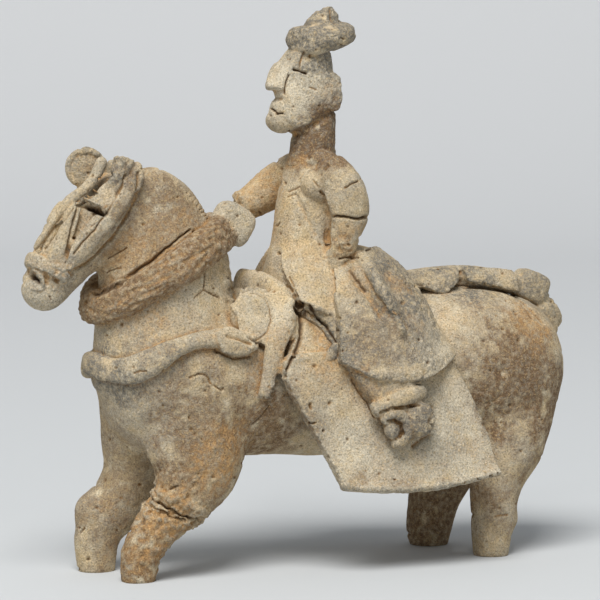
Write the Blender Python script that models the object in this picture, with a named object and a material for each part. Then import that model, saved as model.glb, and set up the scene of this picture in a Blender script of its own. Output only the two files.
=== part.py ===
"""Pottery horse and rider, hand modelled in clay and fired in one piece.

The potter's order is kept. Trunk, neck, head and legs are rolled, pushed together
and smoothed into one body. Rolls and slabs of clay are then laid on it for the
harness, the saddle and the rider. Everything is joined into one solid, thinned to
plain facets and cut flat under the four feet.

The horse looks along -X and its left side is -Y. The pose and the free forms are
set out on a grid of GRID_STEPS steps to the figure's height.
"""

import math

import bmesh
import bpy
from mathutils import Euler, Matrix, Vector
from mathutils.bvhtree import BVHTree

# Driving sizes, in metres. A sink is the share of a strip's thickness that is pressed in
HEIGHT = 0.150
COLLAR_WIDTH = 0.0095
COLLAR_THICKNESS = 0.0064
BREAST_STRAP_WIDTH = 0.0066
BREAST_STRAP_THICKNESS = 0.0040
NOSE_THICKNESS = 0.0046
CHEEK_LEAF_THICKNESS = 0.0024
CRUPPER_WIDTH = 0.0072
CRUPPER_THICKNESS = 0.0060
CRUPPER_SINK = 0.06
POMMEL_THICKNESS = 0.0050
FLAP_THICKNESS = 0.0032
SKIRT_THICKNESS = 0.0040
HAT_WIDTH = 0.0190
HAT_THICKNESS = 0.0058
SOLE_LEVEL = 0.0

# The grid that the pose is set out on, with the levels of the two flap hems
# and the place along the horse that ends up over the origin
GRID_STEPS = 150
GRID = HEIGHT / GRID_STEPS
NEAR_FLAP_HEM = 22.0
FAR_FLAP_HEM = 27.0
MIDDLE = -0.9

# Fineness of the joins, in grid steps, and the number of finished facets
BODY_GRAIN = 1.2
DRESSED_GRAIN = 0.8
FACETS = 9400

CLAY_COLOUR = (0.52, 0.43, 0.31, 1.0)
CLAY_ROUGHNESS = 0.92

UP = Vector((0.0, 0.0, 1.0))
SIDEWAYS = Vector((0.0, 1.0, 0.0))


def clear_scene():
    for old in list(bpy.data.objects):
        bpy.data.objects.remove(old, do_unlink=True)


def spline(stations, steps):
    """A smooth curve through the stations, each any number of values long."""
    last = len(stations) - 1
    line = []
    for i in range(last):
        before = stations[max(i - 1, 0)]
        start = stations[i]
        end = stations[i + 1]
        after = stations[min(i + 2, last)]
        for k in range(steps):
            t = k / steps
            line.append([
                0.5 * (2 * q + (r - p) * t + (2 * p - 5 * q + 4 * r - s) * t * t
                       + (3 * q - p - 3 * r + s) * t ** 3)
                for p, q, r, s in zip(before, start, end, after)
            ])
    line.append(list(stations[last]))
    return line


def oval(angle, across, deep, square):
    """A point on an oval whose corners fill out as square grows past 2."""
    c, s = math.cos(angle), math.sin(angle)
    power = 2.0 / square
    return (across * math.copysign(abs(c) ** power, c),
            deep * math.copysign(abs(s) ** power, s))


def tube(points, across, deep, facings, end_lengths, square, sides):
    """Oval sections along a line, closed by a rounded end at each side."""
    bm = bmesh.new()
    count = len(points)
    cap_angles = [math.radians(a) for a in (75, 55, 35, 17)]
    sections = []
    for i, point in enumerate(points):
        tangent = (points[min(i + 1, count - 1)] - points[max(i - 1, 0)]).normalized()
        side = tangent.cross(facings[i]).normalized()
        out = side.cross(tangent).normalized()
        sections.append((point, side, out, across[i], deep[i]))
        if i == 0:
            for a in cap_angles:
                place = point - tangent * end_lengths[0] * math.sin(a)
                sections.insert(-1, (place, side, out,
                                     across[i] * math.cos(a), deep[i] * math.cos(a)))
            first_pole = point - tangent * end_lengths[0]
        if i == count - 1:
            for a in reversed(cap_angles):
                place = point + tangent * end_lengths[1] * math.sin(a)
                sections.append((place, side, out,
                                 across[i] * math.cos(a), deep[i] * math.cos(a)))
            last_pole = point + tangent * end_lengths[1]
    rings = []
    for place, side, out, half_across, half_deep in sections:
        ring = []
        for k in range(sides):
            x, y = oval(2 * math.pi * k / sides, half_across, half_deep, square)
            ring.append(bm.verts.new(place + side * x + out * y))
        rings.append(ring)
    for low, high in zip(rings, rings[1:]):
        for k in range(sides):
            n = (k + 1) % sides
            bm.faces.new((low[k], low[n], high[n], high[k]))
    start = bm.verts.new(first_pole)
    finish = bm.verts.new(last_pole)
    for k in range(sides):
        n = (k + 1) % sides
        bm.faces.new((start, rings[0][n], rings[0][k]))
        bm.faces.new((finish, rings[-1][k], rings[-1][n]))
    bmesh.ops.recalc_face_normals(bm, faces=bm.faces)
    return bm


def roll(stations, facing=UP, ends=(3.0, 3.0), square=2.0, sides=24, steps=6):
    """A tapering roll. A station is x, y, z and the half sizes across and along facing."""
    line = spline(stations, steps)
    points = [Vector(s[:3]) * GRID for s in line]
    across = [s[3] * GRID for s in line]
    deep = [s[4] * GRID for s in line]
    lengths = [e * GRID for e in ends]
    return tube(points, across, deep, [facing] * len(points), lengths, square, sides)


def lump(centre, sizes, turn=(0, 0, 0), square=2.0, squat=2.0):
    """A rounded lump: half sizes, turned by degrees about X, Y and Z."""
    bm = bmesh.new()
    rings, sides = 14, 24
    frame = (Matrix.Translation(Vector(centre) * GRID)
             @ Euler([math.radians(a) for a in turn]).to_matrix().to_4x4())
    rows = []
    for j in range(1, rings):
        level, height = oval(math.pi * (j / rings - 0.5), 1.0, sizes[2] * GRID, squat)
        row = []
        for k in range(sides):
            x, y = oval(2 * math.pi * k / sides, sizes[0] * GRID, sizes[1] * GRID, square)
            row.append(bm.verts.new(frame @ Vector((x * level, y * level, height))))
        rows.append(row)
    for low, high in zip(rows, rows[1:]):
        for k in range(sides):
            n = (k + 1) % sides
            bm.faces.new((low[k], low[n], high[n], high[k]))
    bottom = bm.verts.new(frame @ Vector((0, 0, -sizes[2] * GRID)))
    top = bm.verts.new(frame @ Vector((0, 0, sizes[2] * GRID)))
    for k in range(sides):
        n = (k + 1) % sides
        bm.faces.new((bottom, rows[0][n], rows[0][k]))
        bm.faces.new((top, rows[-1][k], rows[-1][n]))
    bmesh.ops.recalc_face_normals(bm, faces=bm.faces)
    return bm


def sheet(rows, thickness, steps=5):
    """A slab of one thickness bent through rows of stations, x, y, z each."""
    lines = [spline(row, steps) for row in rows]
    columns = [spline([line[i] for line in lines], steps) for i in range(len(lines[0]))]
    grid = [[Vector(p) * GRID for p in column] for column in columns]
    wide, long = len(grid), len(grid[0])
    bm = bmesh.new()
    sides = []
    for sign in (1, -1):
        layer = []
        for i in range(wide):
            strip = []
            for j in range(long):
                along = grid[min(i + 1, wide - 1)][j] - grid[max(i - 1, 0)][j]
                down = grid[i][min(j + 1, long - 1)] - grid[i][max(j - 1, 0)]
                normal = along.cross(down).normalized()
                strip.append(bm.verts.new(grid[i][j] + normal * sign * thickness / 2))
            layer.append(strip)
        sides.append(layer)
    for layer in sides:
        for i in range(wide - 1):
            for j in range(long - 1):
                bm.faces.new((layer[i][j], layer[i + 1][j], layer[i + 1][j + 1], layer[i][j + 1]))
    edge = ([(i, 0) for i in range(wide - 1)] + [(wide - 1, j) for j in range(long - 1)]
            + [(i, long - 1) for i in range(wide - 1, 0, -1)]
            + [(0, j) for j in range(long - 1, 0, -1)])
    for (i, j), (m, n) in zip(edge, edge[1:] + edge[:1]):
        bm.faces.new((sides[0][i][j], sides[0][m][n], sides[1][m][n], sides[1][i][j]))
    bmesh.ops.recalc_face_normals(bm, faces=bm.faces)
    return bm


def strap(ground, route, width, thickness, swell, sink=0.25, ends=(1.0, 1.0), steps=6):
    """A strip laid on what is below it. swell widens or narrows it, station by station."""
    points, facings, halves = [], [], []
    line = spline([tuple(p) + (s,) for p, s in zip(route, swell)], steps)
    for x, y, z, wide in line:
        place, normal, _, _ = ground.find_nearest(Vector((x, y, z)) * GRID)
        points.append(place)
        facings.append(normal)
        halves.append(width * wide / 2)
    for _ in range(4):
        inner = [(facings[max(i - 1, 0)] + facings[i] * 2 + facings[min(i + 1, len(facings) - 1)])
                 for i in range(len(facings))]
        facings = [f.normalized() for f in inner]
        inner = [(points[max(i - 1, 0)] + points[i] * 2 + points[min(i + 1, len(points) - 1)]) / 4
                 for i in range(len(points))]
        points = inner
    points = [p + f * thickness * (0.5 - sink) for p, f in zip(points, facings)]
    deep = [thickness / 2] * len(points)
    lengths = [e * thickness for e in ends]
    return tube(points, halves, deep, facings, lengths, 2.3, 20)


def mirrored(stations):
    """The same stations on the other side of the horse."""
    return [(s[0], -s[1]) + tuple(s[2:]) for s in stations]


def fuse(parts, grain, rounds):
    """Press the parts together into one skin and rub the joins smooth."""
    mesh = bpy.data.meshes.new("clay")
    bm = bmesh.new()
    for part in parts:
        if isinstance(part, bpy.types.Mesh):
            bm.from_mesh(part)
            continue
        held = bpy.data.meshes.new("held")
        part.to_mesh(held)
        part.free()
        bm.from_mesh(held)
        bpy.data.meshes.remove(held)
    bm.to_mesh(mesh)
    bm.free()
    work = bpy.data.objects.new("clay", mesh)
    bpy.context.scene.collection.objects.link(work)
    skin = work.modifiers.new("skin", 'REMESH')
    skin.mode = 'VOXEL'
    skin.voxel_size = grain * GRID
    rub = work.modifiers.new("rub", 'SMOOTH')
    rub.factor = 0.5
    rub.iterations = rounds
    graph = bpy.context.evaluated_depsgraph_get()
    fused = bpy.data.meshes.new_from_object(work.evaluated_get(graph))
    bpy.data.objects.remove(work, do_unlink=True)
    return drop_hollows(fused)


def drop_hollows(mesh):
    """Fill any hollow shut inside the clay: only the largest closed skin is kept."""
    bm = bmesh.new()
    bm.from_mesh(mesh)
    seen = set()
    skins = []
    for first in bm.verts:
        if first in seen:
            continue
        seen.add(first)
        skin, edge = [first], [first]
        while edge:
            for link in edge.pop().link_edges:
                for other in link.verts:
                    if other not in seen:
                        seen.add(other)
                        skin.append(other)
                        edge.append(other)
        skins.append(skin)
    skins.sort(key=len)
    bmesh.ops.delete(bm, geom=[v for skin in skins[:-1] for v in skin], context='VERTS')
    bm.to_mesh(mesh)
    bm.free()
    return mesh


def surface_of(mesh):
    """The skin as something that strips can be laid on."""
    bm = bmesh.new()
    bm.from_mesh(mesh)
    tree = BVHTree.FromBMesh(bm)
    bm.free()
    return tree


def horse_body():
    """Trunk, neck, head and four legs, each a roll of clay."""
    trunk = roll([
        (-45, 0, 53, 17.5, 19.5), (-30, 0, 51.5, 18, 21), (-12, 0, 50, 16.5, 20.5),
        (8, 0, 49.4, 16, 21), (30, 0, 50, 17.5, 22.5), (48, 0, 50, 20, 23.5),
        (60, 0, 49, 19.5, 22),
    ], ends=(14.5, 17.6))
    neck = roll([
        (-38.8, 0, 54, 16, 23), (-41.3, 0, 70, 13.5, 19.6), (-41.8, 0, 84, 11, 17),
        (-44, 0, 95.4, 9, 12.4), (-48.5, 0, 102.6, 7.5, 8.4),
    ], facing=Vector((-1, 0, 0)), ends=(4, 4))
    mane = roll([
        (-51, 0, 103, 2.2, 3), (-44, 0, 101.5, 2.2, 3), (-37.4, 0, 97.7, 2.4, 3.2),
        (-31.6, 0, 92.4, 2.6, 3.6), (-26.8, 0, 84, 2.8, 4), (-25, 0, 74, 3.4, 4),
    ])
    head = roll([
        (-48, 0, 102.6, 7, 7.4), (-55, 0, 97.4, 7.2, 9), (-61.6, 0, 91.2, 6.4, 8.6),
        (-69, 0, 83.6, 5.4, 7.2), (-76.2, 0, 76, 5.2, 6.3),
    ], ends=(3, 5), square=2.6)
    near_fore = roll([
        (-37.4, -8, 46, 9.5, 15), (-36.6, -9.5, 31, 8.5, 13.6), (-40.2, -10.5, 22, 7.2, 9),
        (-45.4, -10.5, 16.6, 6.2, 6.9), (-50.2, -10.5, 11, 5.6, 5.9), (-53, -10.5, 6, 5.2, 5.3),
        (-53.9, -10.5, -2, 4.6, 4.8),
    ], facing=Vector((-1, 0, 0.2)), ends=(4, 1))
    far_fore = roll([
        (-43, 8, 46, 9.5, 13.5), (-44.8, 9.5, 32, 8.5, 10.4), (-46.4, 10.5, 24.5, 7.2, 8.2),
        (-51, 10.5, 17, 6.2, 8), (-56, 10.5, 11, 5.6, 6.3), (-56.9, 10.5, 5, 5.3, 5.6),
        (-56.9, 10.5, -2, 4.8, 5.0),
    ], facing=Vector((-1, 0, 0.2)), ends=(4, 1))
    far_knee = lump((-57, 10.5, 16), (6, 5.2, 6))
    near_hind = roll([
        (59, -7, 44, 10, 15), (56.4, -10.5, 30, 9.5, 12.2), (53.4, -12, 19, 7.6, 8.2),
        (52.4, -12.5, 11, 6.6, 7.2), (51.6, -12.5, 5, 6.2, 6.3), (51.2, -12.5, -2, 5.2, 5.2),
    ], facing=Vector((-1, 0, 0)), ends=(4, 1))
    near_fetlock = lump((55.6, -12.5, 9.4), (5.2, 4.6, 3.6))
    far_hind = roll([
        (55, 7, 44, 10, 16), (50.5, 10.5, 28, 9.5, 13), (46.8, 12, 15.5, 7.6, 8.2),
        (45.2, 12, 9, 6.8, 7), (44.4, 12, 4, 6.4, 6.9), (44.8, 12, -2, 5, 5.2),
    ], facing=Vector((-1, 0, 0)), ends=(4, 1))
    return [trunk, neck, mane, head, near_fore, far_fore, far_knee,
            near_hind, near_fetlock, far_hind]


def harness(ground):
    """Collar, breast strap, bridle, ears and crupper, laid on the horse."""
    collar_side = [
        (-23, -5, 92), (-29, -10, 89.5), (-38, -13, 85), (-48, -13.5, 79.8),
        (-56, -11, 75.4), (-61.6, -5, 72.6),
    ]
    collar_route = ([(-21, 0, 92.5)] + collar_side + [(-62.6, 0, 71.8)]
                    + mirrored(collar_side)[::-1] + [(-21, 0, 92.5)])
    collar = strap(ground, collar_route, COLLAR_WIDTH, COLLAR_THICKNESS, [1] * len(collar_route),
                   sink=0.33)
    collar_knot = lump((-22.6, -1, 92.6), (5, 4.6, 5.4), turn=(0, 24, 0), square=3, squat=3)
    breast_side = [
        (-31, -18, 64.3), (-38, -18.5, 64.4), (-45, -18, 62.3), (-51.5, -16.5, 58.7),
        (-57.6, -14, 56.2), (-62, -8, 55.4),
    ]
    breast_route = ([(-24.5, -17, 62.2)] + breast_side + [(-63.5, 0, 57)]
                    + mirrored(breast_side)[::-1] + [(-24.5, 17, 62.2)])
    half = [0.8, 0.85, 0.7, 0.8, 1.05, 1.1, 1.0]
    breast = strap(ground, breast_route, BREAST_STRAP_WIDTH, BREAST_STRAP_THICKNESS,
                   half + [1.0] + half[::-1])
    tip = lump((-26.5, -17.8, 62.4), (4.6, 1.6, 3.3), turn=(0, 14, 0))
    face_roll = roll([
        (-60.2, -3.6, 109.6, 1.7, 1.7), (-61.4, -3.6, 105.6, 2, 2), (-63.8, -3.2, 103, 2.1, 2.1),
        (-67.2, -2.6, 101.6, 2, 2), (-69.8, -2, 100, 1.9, 1.9), (-71.6, -1.4, 97.6, 1.8, 1.8),
        (-74, -0.8, 93, 1.6, 1.6), (-76.8, -0.4, 89.2, 1.4, 1.4), (-78, 0, 87, 1.2, 1.2),
    ], ends=(1.4, 1), sides=12)
    forehead = lump((-63.4, 0, 97.8), (3.4, 4.8, 5.6), turn=(0, 32, 0))
    brow = lump((-67.4, -0.6, 97.8), (2.4, 3.4, 2.4))
    face = lump((-72.6, 0, 89), (3.4, 3.6, 8), turn=(0, 32, 0))
    cheek = []
    for side in (-1, 1):
        cheek.append(roll([
            (-52.8, side * 6.8, 108, 1.8, 2.0), (-52.9, side * 7.8, 104.8, 2.5, 2.4),
            (-56.8, side * 8.2, 100.6, 2.7, 2.5), (-61.6, side * 8, 95.8, 2.8, 2.4),
            (-66, side * 7.2, 91, 2.8, 2.2), (-69.4, side * 6.4, 86.6, 2.6, 2),
            (-72, side * 5.8, 83, 2.2, 1.8),
        ], facing=SIDEWAYS, ends=(1.4, 1.4), sides=14))
        cheek.append(roll([
            (-68, side * 4, 98.6, 1.6, 1.8), (-70.4, side * 4.6, 94.2, 2.4, 1.9),
            (-72.4, side * 4.8, 89.6, 2.7, 1.9), (-74.2, side * 4.8, 85.4, 2.8, 1.8),
            (-75.4, side * 4.8, 82.6, 2.6, 1.7),
        ], facing=SIDEWAYS, ends=(1, 1), sides=12, square=2.6))
        cheek.append(sheet([
            [(-59.4, side * 5.4, 105.8), (-57.6, side * 7, 105.2), (-55.8, side * 8, 104.4)],
            [(-62.6, side * 4.8, 102.2), (-60.6, side * 6.8, 101), (-58.6, side * 8, 100)],
            [(-66.8, side * 3.8, 100.2), (-64, side * 6.2, 98.8), (-61.2, side * 7.8, 97.2)],
        ], CHEEK_LEAF_THICKNESS))
    noseband = roll([
        (-73, -5.8, 80.8, 2.4, 1.8), (-76.8, -4.6, 83, 2.4, 1.8), (-78.4, 0, 84.4, 2.4, 1.9),
        (-76.8, 4.6, 83, 2.4, 1.8), (-73, 5.8, 80.8, 2.4, 1.8),
    ], facing=Vector((-1, 0, 0.4)), ends=(1.6, 1.6), sides=12)
    nostrils = [lump((-78, side * 3, 79), (2.2, 2.2, 2.6)) for side in (-1, 1)]
    far_ear = lump((-61, 5, 107.4), (1.3, 5.4, 5.6), turn=(0, 0, 62), square=2.2)
    rim_across = Vector((0.88, -0.47, 0))
    rim = []
    for degrees in range(220, 20, -30):
        angle = math.radians(degrees)
        around = rim_across * math.cos(angle) + UP * math.sin(angle)
        spot = Vector((-61.4, 4.4, 107.4)) + around * 4.4
        rim.append(tuple(spot) + (1.2, 1.4))
    ear_rim = roll(rim, facing=Vector((-0.47, -0.88, 0)), ends=(1, 1), sides=12)
    near_ear = roll([
        (-58.2, -6.4, 102, 3, 1.8), (-57, -6.8, 106, 2.8, 2.2), (-56, -7, 110.4, 2.6, 2.2),
    ], facing=SIDEWAYS, ends=(1.5, 0.8), sides=12)
    crupper = strap(ground, [
        (30, 0, 74), (38, -0.5, 75), (46, 0.4, 76), (54, -0.4, 76), (62, 0, 74),
        (69, 0, 69), (73.5, 0, 63),
    ], CRUPPER_WIDTH, CRUPPER_THICKNESS, [1, 1, 0.95, 1.05, 1, 1, 1], sink=CRUPPER_SINK)
    tail_block = lump((70, 0, 72.8), (4.2, 4.4, 4.3), turn=(0, 30, 0), square=3, squat=3)
    tail_knob = lump((73.4, 0, 63.8), (3.7, 4.6, 5.4), turn=(0, -14, 0), square=2.6)
    return [collar, collar_knot, breast, tip, face_roll, forehead, brow, face, noseband, far_ear,
            ear_rim, near_ear, crupper, tail_block, tail_knob] + cheek + nostrils


def saddle():
    """Front arch, pads, seat, the hanging side flaps and the clay that fills up under them."""
    arch_side = [
        (-20.1, -18.6, 48.6, 1.3, -0.2, -1, 0), (-18.7, -18.8, 54.6, 2.4, -0.2, -1, 0.1),
        (-16.6, -17.6, 61.6, 3.1, -0.2, -1, 0.1), (-14.2, -16, 67, 4.1, -0.25, -0.95, 0.2),
        (-14, -13.2, 71.4, 4.2, -0.45, -0.85, 0.25), (-14.6, -9.4, 74.4, 4, -0.75, -0.6, 0.25),
        (-16.2, -5, 76, 3.8, -0.95, -0.3, 0.2),
    ]
    far_side = [(x, -y, z, half, fx, -fy, fz) for x, y, z, half, fx, fy, fz in arch_side]
    line = spline(arch_side + [(-17.2, 0, 76.4, 3.6, -1, 0, 0.15)] + far_side[::-1], 5)
    arch = tube([Vector(s[:3]) * GRID for s in line], [s[3] * GRID for s in line],
                [POMMEL_THICKNESS / 2] * len(line), [Vector(s[4:]).normalized() for s in line],
                (GRID, GRID), 2.6, 20)
    core = lump((-17, 0, 68), (7.6, 14, 7.4), square=2.4)
    parts = [arch, core]
    for side, hem in ((-1, NEAR_FLAP_HEM), (1, FAR_FLAP_HEM)):
        parts.append(lump((-22, side * 13.6, 68.6), (5.2, 2.4, 6.4), turn=(side * -8, 0, side * 16)))
        under = [
            [(-10, side * 12.6, 70.5), (8, side * 14.6, 70), (20, side * 14.6, 69.5),
             (27, side * 13.4, 67)],
            [(-12.4, side * 17.2, 62.6), (8, side * 18, 61), (22, side * 17.6, 60.5),
             (31, side * 16.6, 59)],
            [(-14.4, side * 19.4, 56), (6, side * 20, 54), (22, side * 20, 53),
             (34, side * 19, 53)],
        ]
        flap = [
            [(-14.2, side * 19.8, 58.8), (-2, side * 20, 59), (14, side * 20.4, 58),
             (32.4, side * 18.6, 57.6)],
            [(-16.6, side * 20.8, 53.6), (2, side * 21.6, 51.4), (20, side * 21.8, 50.4),
             (36.2, side * 21, 50)],
            [(-9, side * 24, 37.6), (8, side * 24.6, 36.6), (26, side * 24.8, 36.6),
             (41, side * 24, 37.6)],
            [(-1.6, side * 27, hem + 1.2), (12, side * 27.8, hem), (30, side * 28, hem + 0.4),
             (45.2, side * 27, hem + 2.4)],
        ]
        parts.append(sheet(under, FLAP_THICKNESS))
        parts.append(sheet(flap, FLAP_THICKNESS))
        parts += [
            lump((4, side * 14.6, 60), (20, 4.4, 8)),
            lump((12, side * 16.6, 70), (11, 5.6, 9)),
            lump((18, side * 21.4, 60), (8, 4.2, 9)),
            lump((20.4, side * 24, 54.4), (5, 2.8, 4.4)),
            lump((-9, side * 9.4, 72.4), (4.4, 4, 3)),
        ]
    seat = roll([
        (-12, 0, 69, 12, 6), (0, 0, 69, 15, 6), (14, 0, 69, 15, 6), (28, 0, 70, 12, 5),
    ], ends=(4, 5))
    parts.append(seat)
    return parts


def rider():
    """Body, arms, head and hat of the rider, with the coat's skirts and the legs."""
    torso = roll([
        (1, 0, 66, 16, 14), (0.4, 0, 76, 13.5, 12.4), (0.4, 0, 86, 10.8, 9.6),
        (1, 0, 96, 10, 8.4), (1.6, 0, 104, 9.6, 7), (2, 0, 109, 7, 5.6),
    ], facing=Vector((-1, 0, 0)), ends=(3, 2))
    neck = roll([
        (2, 0, 108, 7, 7), (1.8, 0, 112, 6.2, 6.6), (1.6, 0, 121, 6, 6.5),
    ], facing=Vector((-1, 0, 0)), ends=(2, 2))
    near_arm = roll([
        (3.2, -9, 106.4, 5, 5), (5.2, -12.8, 101.6, 5.6, 5.8), (6.2, -14, 95.6, 5.4, 5.8),
        (5.2, -13.6, 88.6, 4.4, 4.8), (3.4, -12.6, 82, 3.6, 3.8),
    ], facing=Vector((-1, 0, 0)), ends=(3, 2))
    armpit = lump((4.6, -9.6, 91), (3.8, 3.6, 8))
    far_arm = roll([
        (1.6, 8.6, 106.2, 5, 5), (-3.4, 12.4, 101, 5, 5.8), (-9.2, 13.4, 97.4, 4.4, 4.8),
        (-12.8, 13.4, 96.2, 4, 4),
    ], ends=(3, 1.2))
    head = roll([
        (1.6, 0, 137, 4.8, 5.6), (0.6, 0, 133, 5.8, 7.2), (-0.6, 0, 127.6, 6.3, 8.2),
        (-1.6, 0, 122.6, 6, 8.8), (-2.6, 0, 118.8, 5.2, 8.4),
    ], facing=Vector((-1, 0, 0)), ends=(1.6, 2.4), square=2.7)
    chin = lump((-7, 0, 119.4), (4, 4.6, 3.4), square=2.5)
    nose = sheet([
        [(-5.6, 0, 137.2), (-2.6, 0, 137.2), (0, 0, 137)],
        [(-8.8, 0, 132.8), (-5, 0, 132.4), (-2, 0, 132)],
        [(-11.4, 0, 128.4), (-8, 0, 126.4), (-4, 0, 126.4)],
    ], NOSE_THICKNESS)
    near_ear = lump((6.4, -5.4, 127), (2.4, 1.5, 4.8))
    far_ear = lump((6.4, 5.4, 127), (2.4, 1.5, 4.8))
    brim = lump((4.9, 0, 141.9),
                (HAT_WIDTH / 2 / GRID, HAT_WIDTH / 2 / GRID, HAT_THICKNESS / 2 / GRID),
                turn=(0, -7, 0), squat=2.8)
    brim_front = lump((-0.2, 0, 141.8), (5, 6.4, 3.5), turn=(0, -7, 0), squat=2.6)
    topknot = lump((5.2, 0, 146.2), (4.9, 4.4, 2.9), square=2.4)
    peak = lump((6.9, 0, 148), (2.1, 2, 2))
    hips = lump((12, 0, 75), (12.6, 14.4, 11), turn=(0, 6, 0), square=2.6, squat=2.6)
    parts = [torso, hips, neck, near_arm, armpit, far_arm, head, chin, nose, near_ear, far_ear,
             brim, brim_front, topknot, peak]
    for side in (-1, 1):
        parts += coat_and_leg(side)
    return parts


def coat_and_leg(side):
    """One side of the coat and the leg that hangs below it."""
    lap = sheet([
        [(-6.6, side * 2, 87), (-3, side * 8, 87), (3, side * 10, 87)],
        [(-9.6, side * 7, 79.4), (-5.6, side * 12.4, 78), (1.5, side * 14, 77.5)],
        [(-9.2, side * 15, 72), (-5.4, side * 17.2, 69.8), (-0.6, side * 18, 67.8)],
    ], SKIRT_THICKNESS * 0.8)
    skirt = sheet([
        [(2.8, side * 12, 81.6), (8, side * 13.2, 84), (15, side * 10, 84.4), (20, side * 4.6, 82.6)],
        [(0.4, side * 18, 73.8), (9.4, side * 20.6, 75), (18.4, side * 17.6, 75.6),
         (25.6, side * 9.8, 76)],
        [(-0.6, side * 22, 65.4), (11, side * 25, 65), (22.4, side * 22.4, 64.6),
         (30.8, side * 14.6, 64.4)],
        [(-1.4, side * 24, 56.6), (8.6, side * 28, 51.6), (23, side * 27, 51.4),
         (35.2, side * 19, 55.8)],
    ], SKIRT_THICKNESS)
    fold = roll([
        (8, side * 15.6, 83, 1.8, 1.8), (11.6, side * 23.2, 72.5, 2, 2),
        (19.4, side * 25.2, 63.5, 1.4, 1.4),
    ], ends=(1.5, 2), sides=12)
    leg = roll([
        (-5, side * 13.4, 72, 3, 5.2), (3.8, side * 18.4, 63, 3, 5.6),
        (7.8, side * 23, 54.6, 3, 5.6), (12.8, side * 26.4, 47.4, 3, 5.4),
        (14.6, side * 27.6, 41.6, 3, 4.6),
    ], facing=Vector((-1, 0, -0.5)), ends=(2, 2), square=2.6)
    cuff = roll([
        (7, side * 28.5, 44.2, 1.8, 1.8), (9.8, side * 30, 45.6, 1.8, 1.8),
        (13.1, side * 30.6, 46.6, 1.8, 1.8), (17, side * 30, 47.2, 1.8, 1.8),
        (20, side * 28.6, 47.2, 1.7, 1.7),
    ], ends=(1.2, 1.4), sides=14)
    foot = lump((18, side * 29.4, 40.5), (3.9, 3, 4.3))
    heel = lump((17.2, side * 27.2, 38.4), (3.2, 2.2, 3.2))
    instep = lump((14.4, side * 29, 40.4), (3.6, 2.4, 3.8))
    curl = roll([
        (9.4, side * 30.4, 42, 1.2, 1.2), (11.7, side * 31, 42.6, 1.3, 1.3),
        (14, side * 31.2, 40.8, 1.4, 1.4), (15, side * 31, 37.6, 1.4, 1.4),
        (13.8, side * 30.4, 35.6, 1.3, 1.3), (12, side * 29.8, 35.2, 1.1, 1.1),
    ], facing=SIDEWAYS, ends=(0.8, 0.8), sides=12)
    toe = lump((11.2, side * 29.8, 38.8), (1.7, 1.8, 2))
    return [lap, skirt, fold, leg, cuff, foot, heel, instep, curl, toe]


def cut_soles(mesh):
    """Thin the skin to plain facets, cut the feet flat and bring the middle to the origin."""
    work = bpy.data.objects.new("skin", mesh)
    bpy.context.scene.collection.objects.link(work)
    thin = work.modifiers.new("thin", 'DECIMATE')
    thin.ratio = FACETS / (2 * len(mesh.polygons))
    thin.use_collapse_triangulate = True
    graph = bpy.context.evaluated_depsgraph_get()
    thinned = bpy.data.meshes.new_from_object(work.evaluated_get(graph))
    bpy.data.objects.remove(work, do_unlink=True)
    bm = bmesh.new()
    bm.from_mesh(thinned)
    bmesh.ops.bisect_plane(bm, geom=bm.verts[:] + bm.edges[:] + bm.faces[:], dist=1e-7,
                           plane_co=(0, 0, SOLE_LEVEL), plane_no=(0, 0, -1), clear_outer=True)
    open_edges = [e for e in bm.edges if e.is_boundary]
    bmesh.ops.holes_fill(bm, edges=open_edges, sides=0)
    bmesh.ops.triangulate(bm, faces=[f for f in bm.faces if len(f.verts) > 4])
    bmesh.ops.translate(bm, verts=bm.verts, vec=(-MIDDLE * GRID, 0, 0))
    bmesh.ops.recalc_face_normals(bm, faces=bm.faces)
    bm.to_mesh(thinned)
    bm.free()
    return thinned


def clay_material():
    clay = bpy.data.materials.new("fired_clay")
    clay.use_nodes = True
    shader = clay.node_tree.nodes["Principled BSDF"]
    shader.inputs["Base Color"].default_value = CLAY_COLOUR
    shader.inputs["Roughness"].default_value = CLAY_ROUGHNESS
    shader.inputs["Metallic"].default_value = 0.0
    return clay


def build():
    clear_scene()
    body = fuse(horse_body(), BODY_GRAIN, 18)
    ground = surface_of(body)
    dressed = fuse([body] + harness(ground) + saddle() + rider(), DRESSED_GRAIN, 2)
    figure = bpy.data.objects.new("horse_and_rider", cut_soles(dressed))
    figure.data.materials.clear()
    figure.data.materials.append(clay_material())
    figure.data.shade_smooth()
    figure.data.set_sharp_from_angle(angle=math.radians(40))
    bpy.context.scene.collection.objects.link(figure)


build()
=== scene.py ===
import math

import bmesh
import bpy
import numpy as np
from mathutils import Euler, Matrix, Vector
from mathutils.bvhtree import BVHTree


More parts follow.
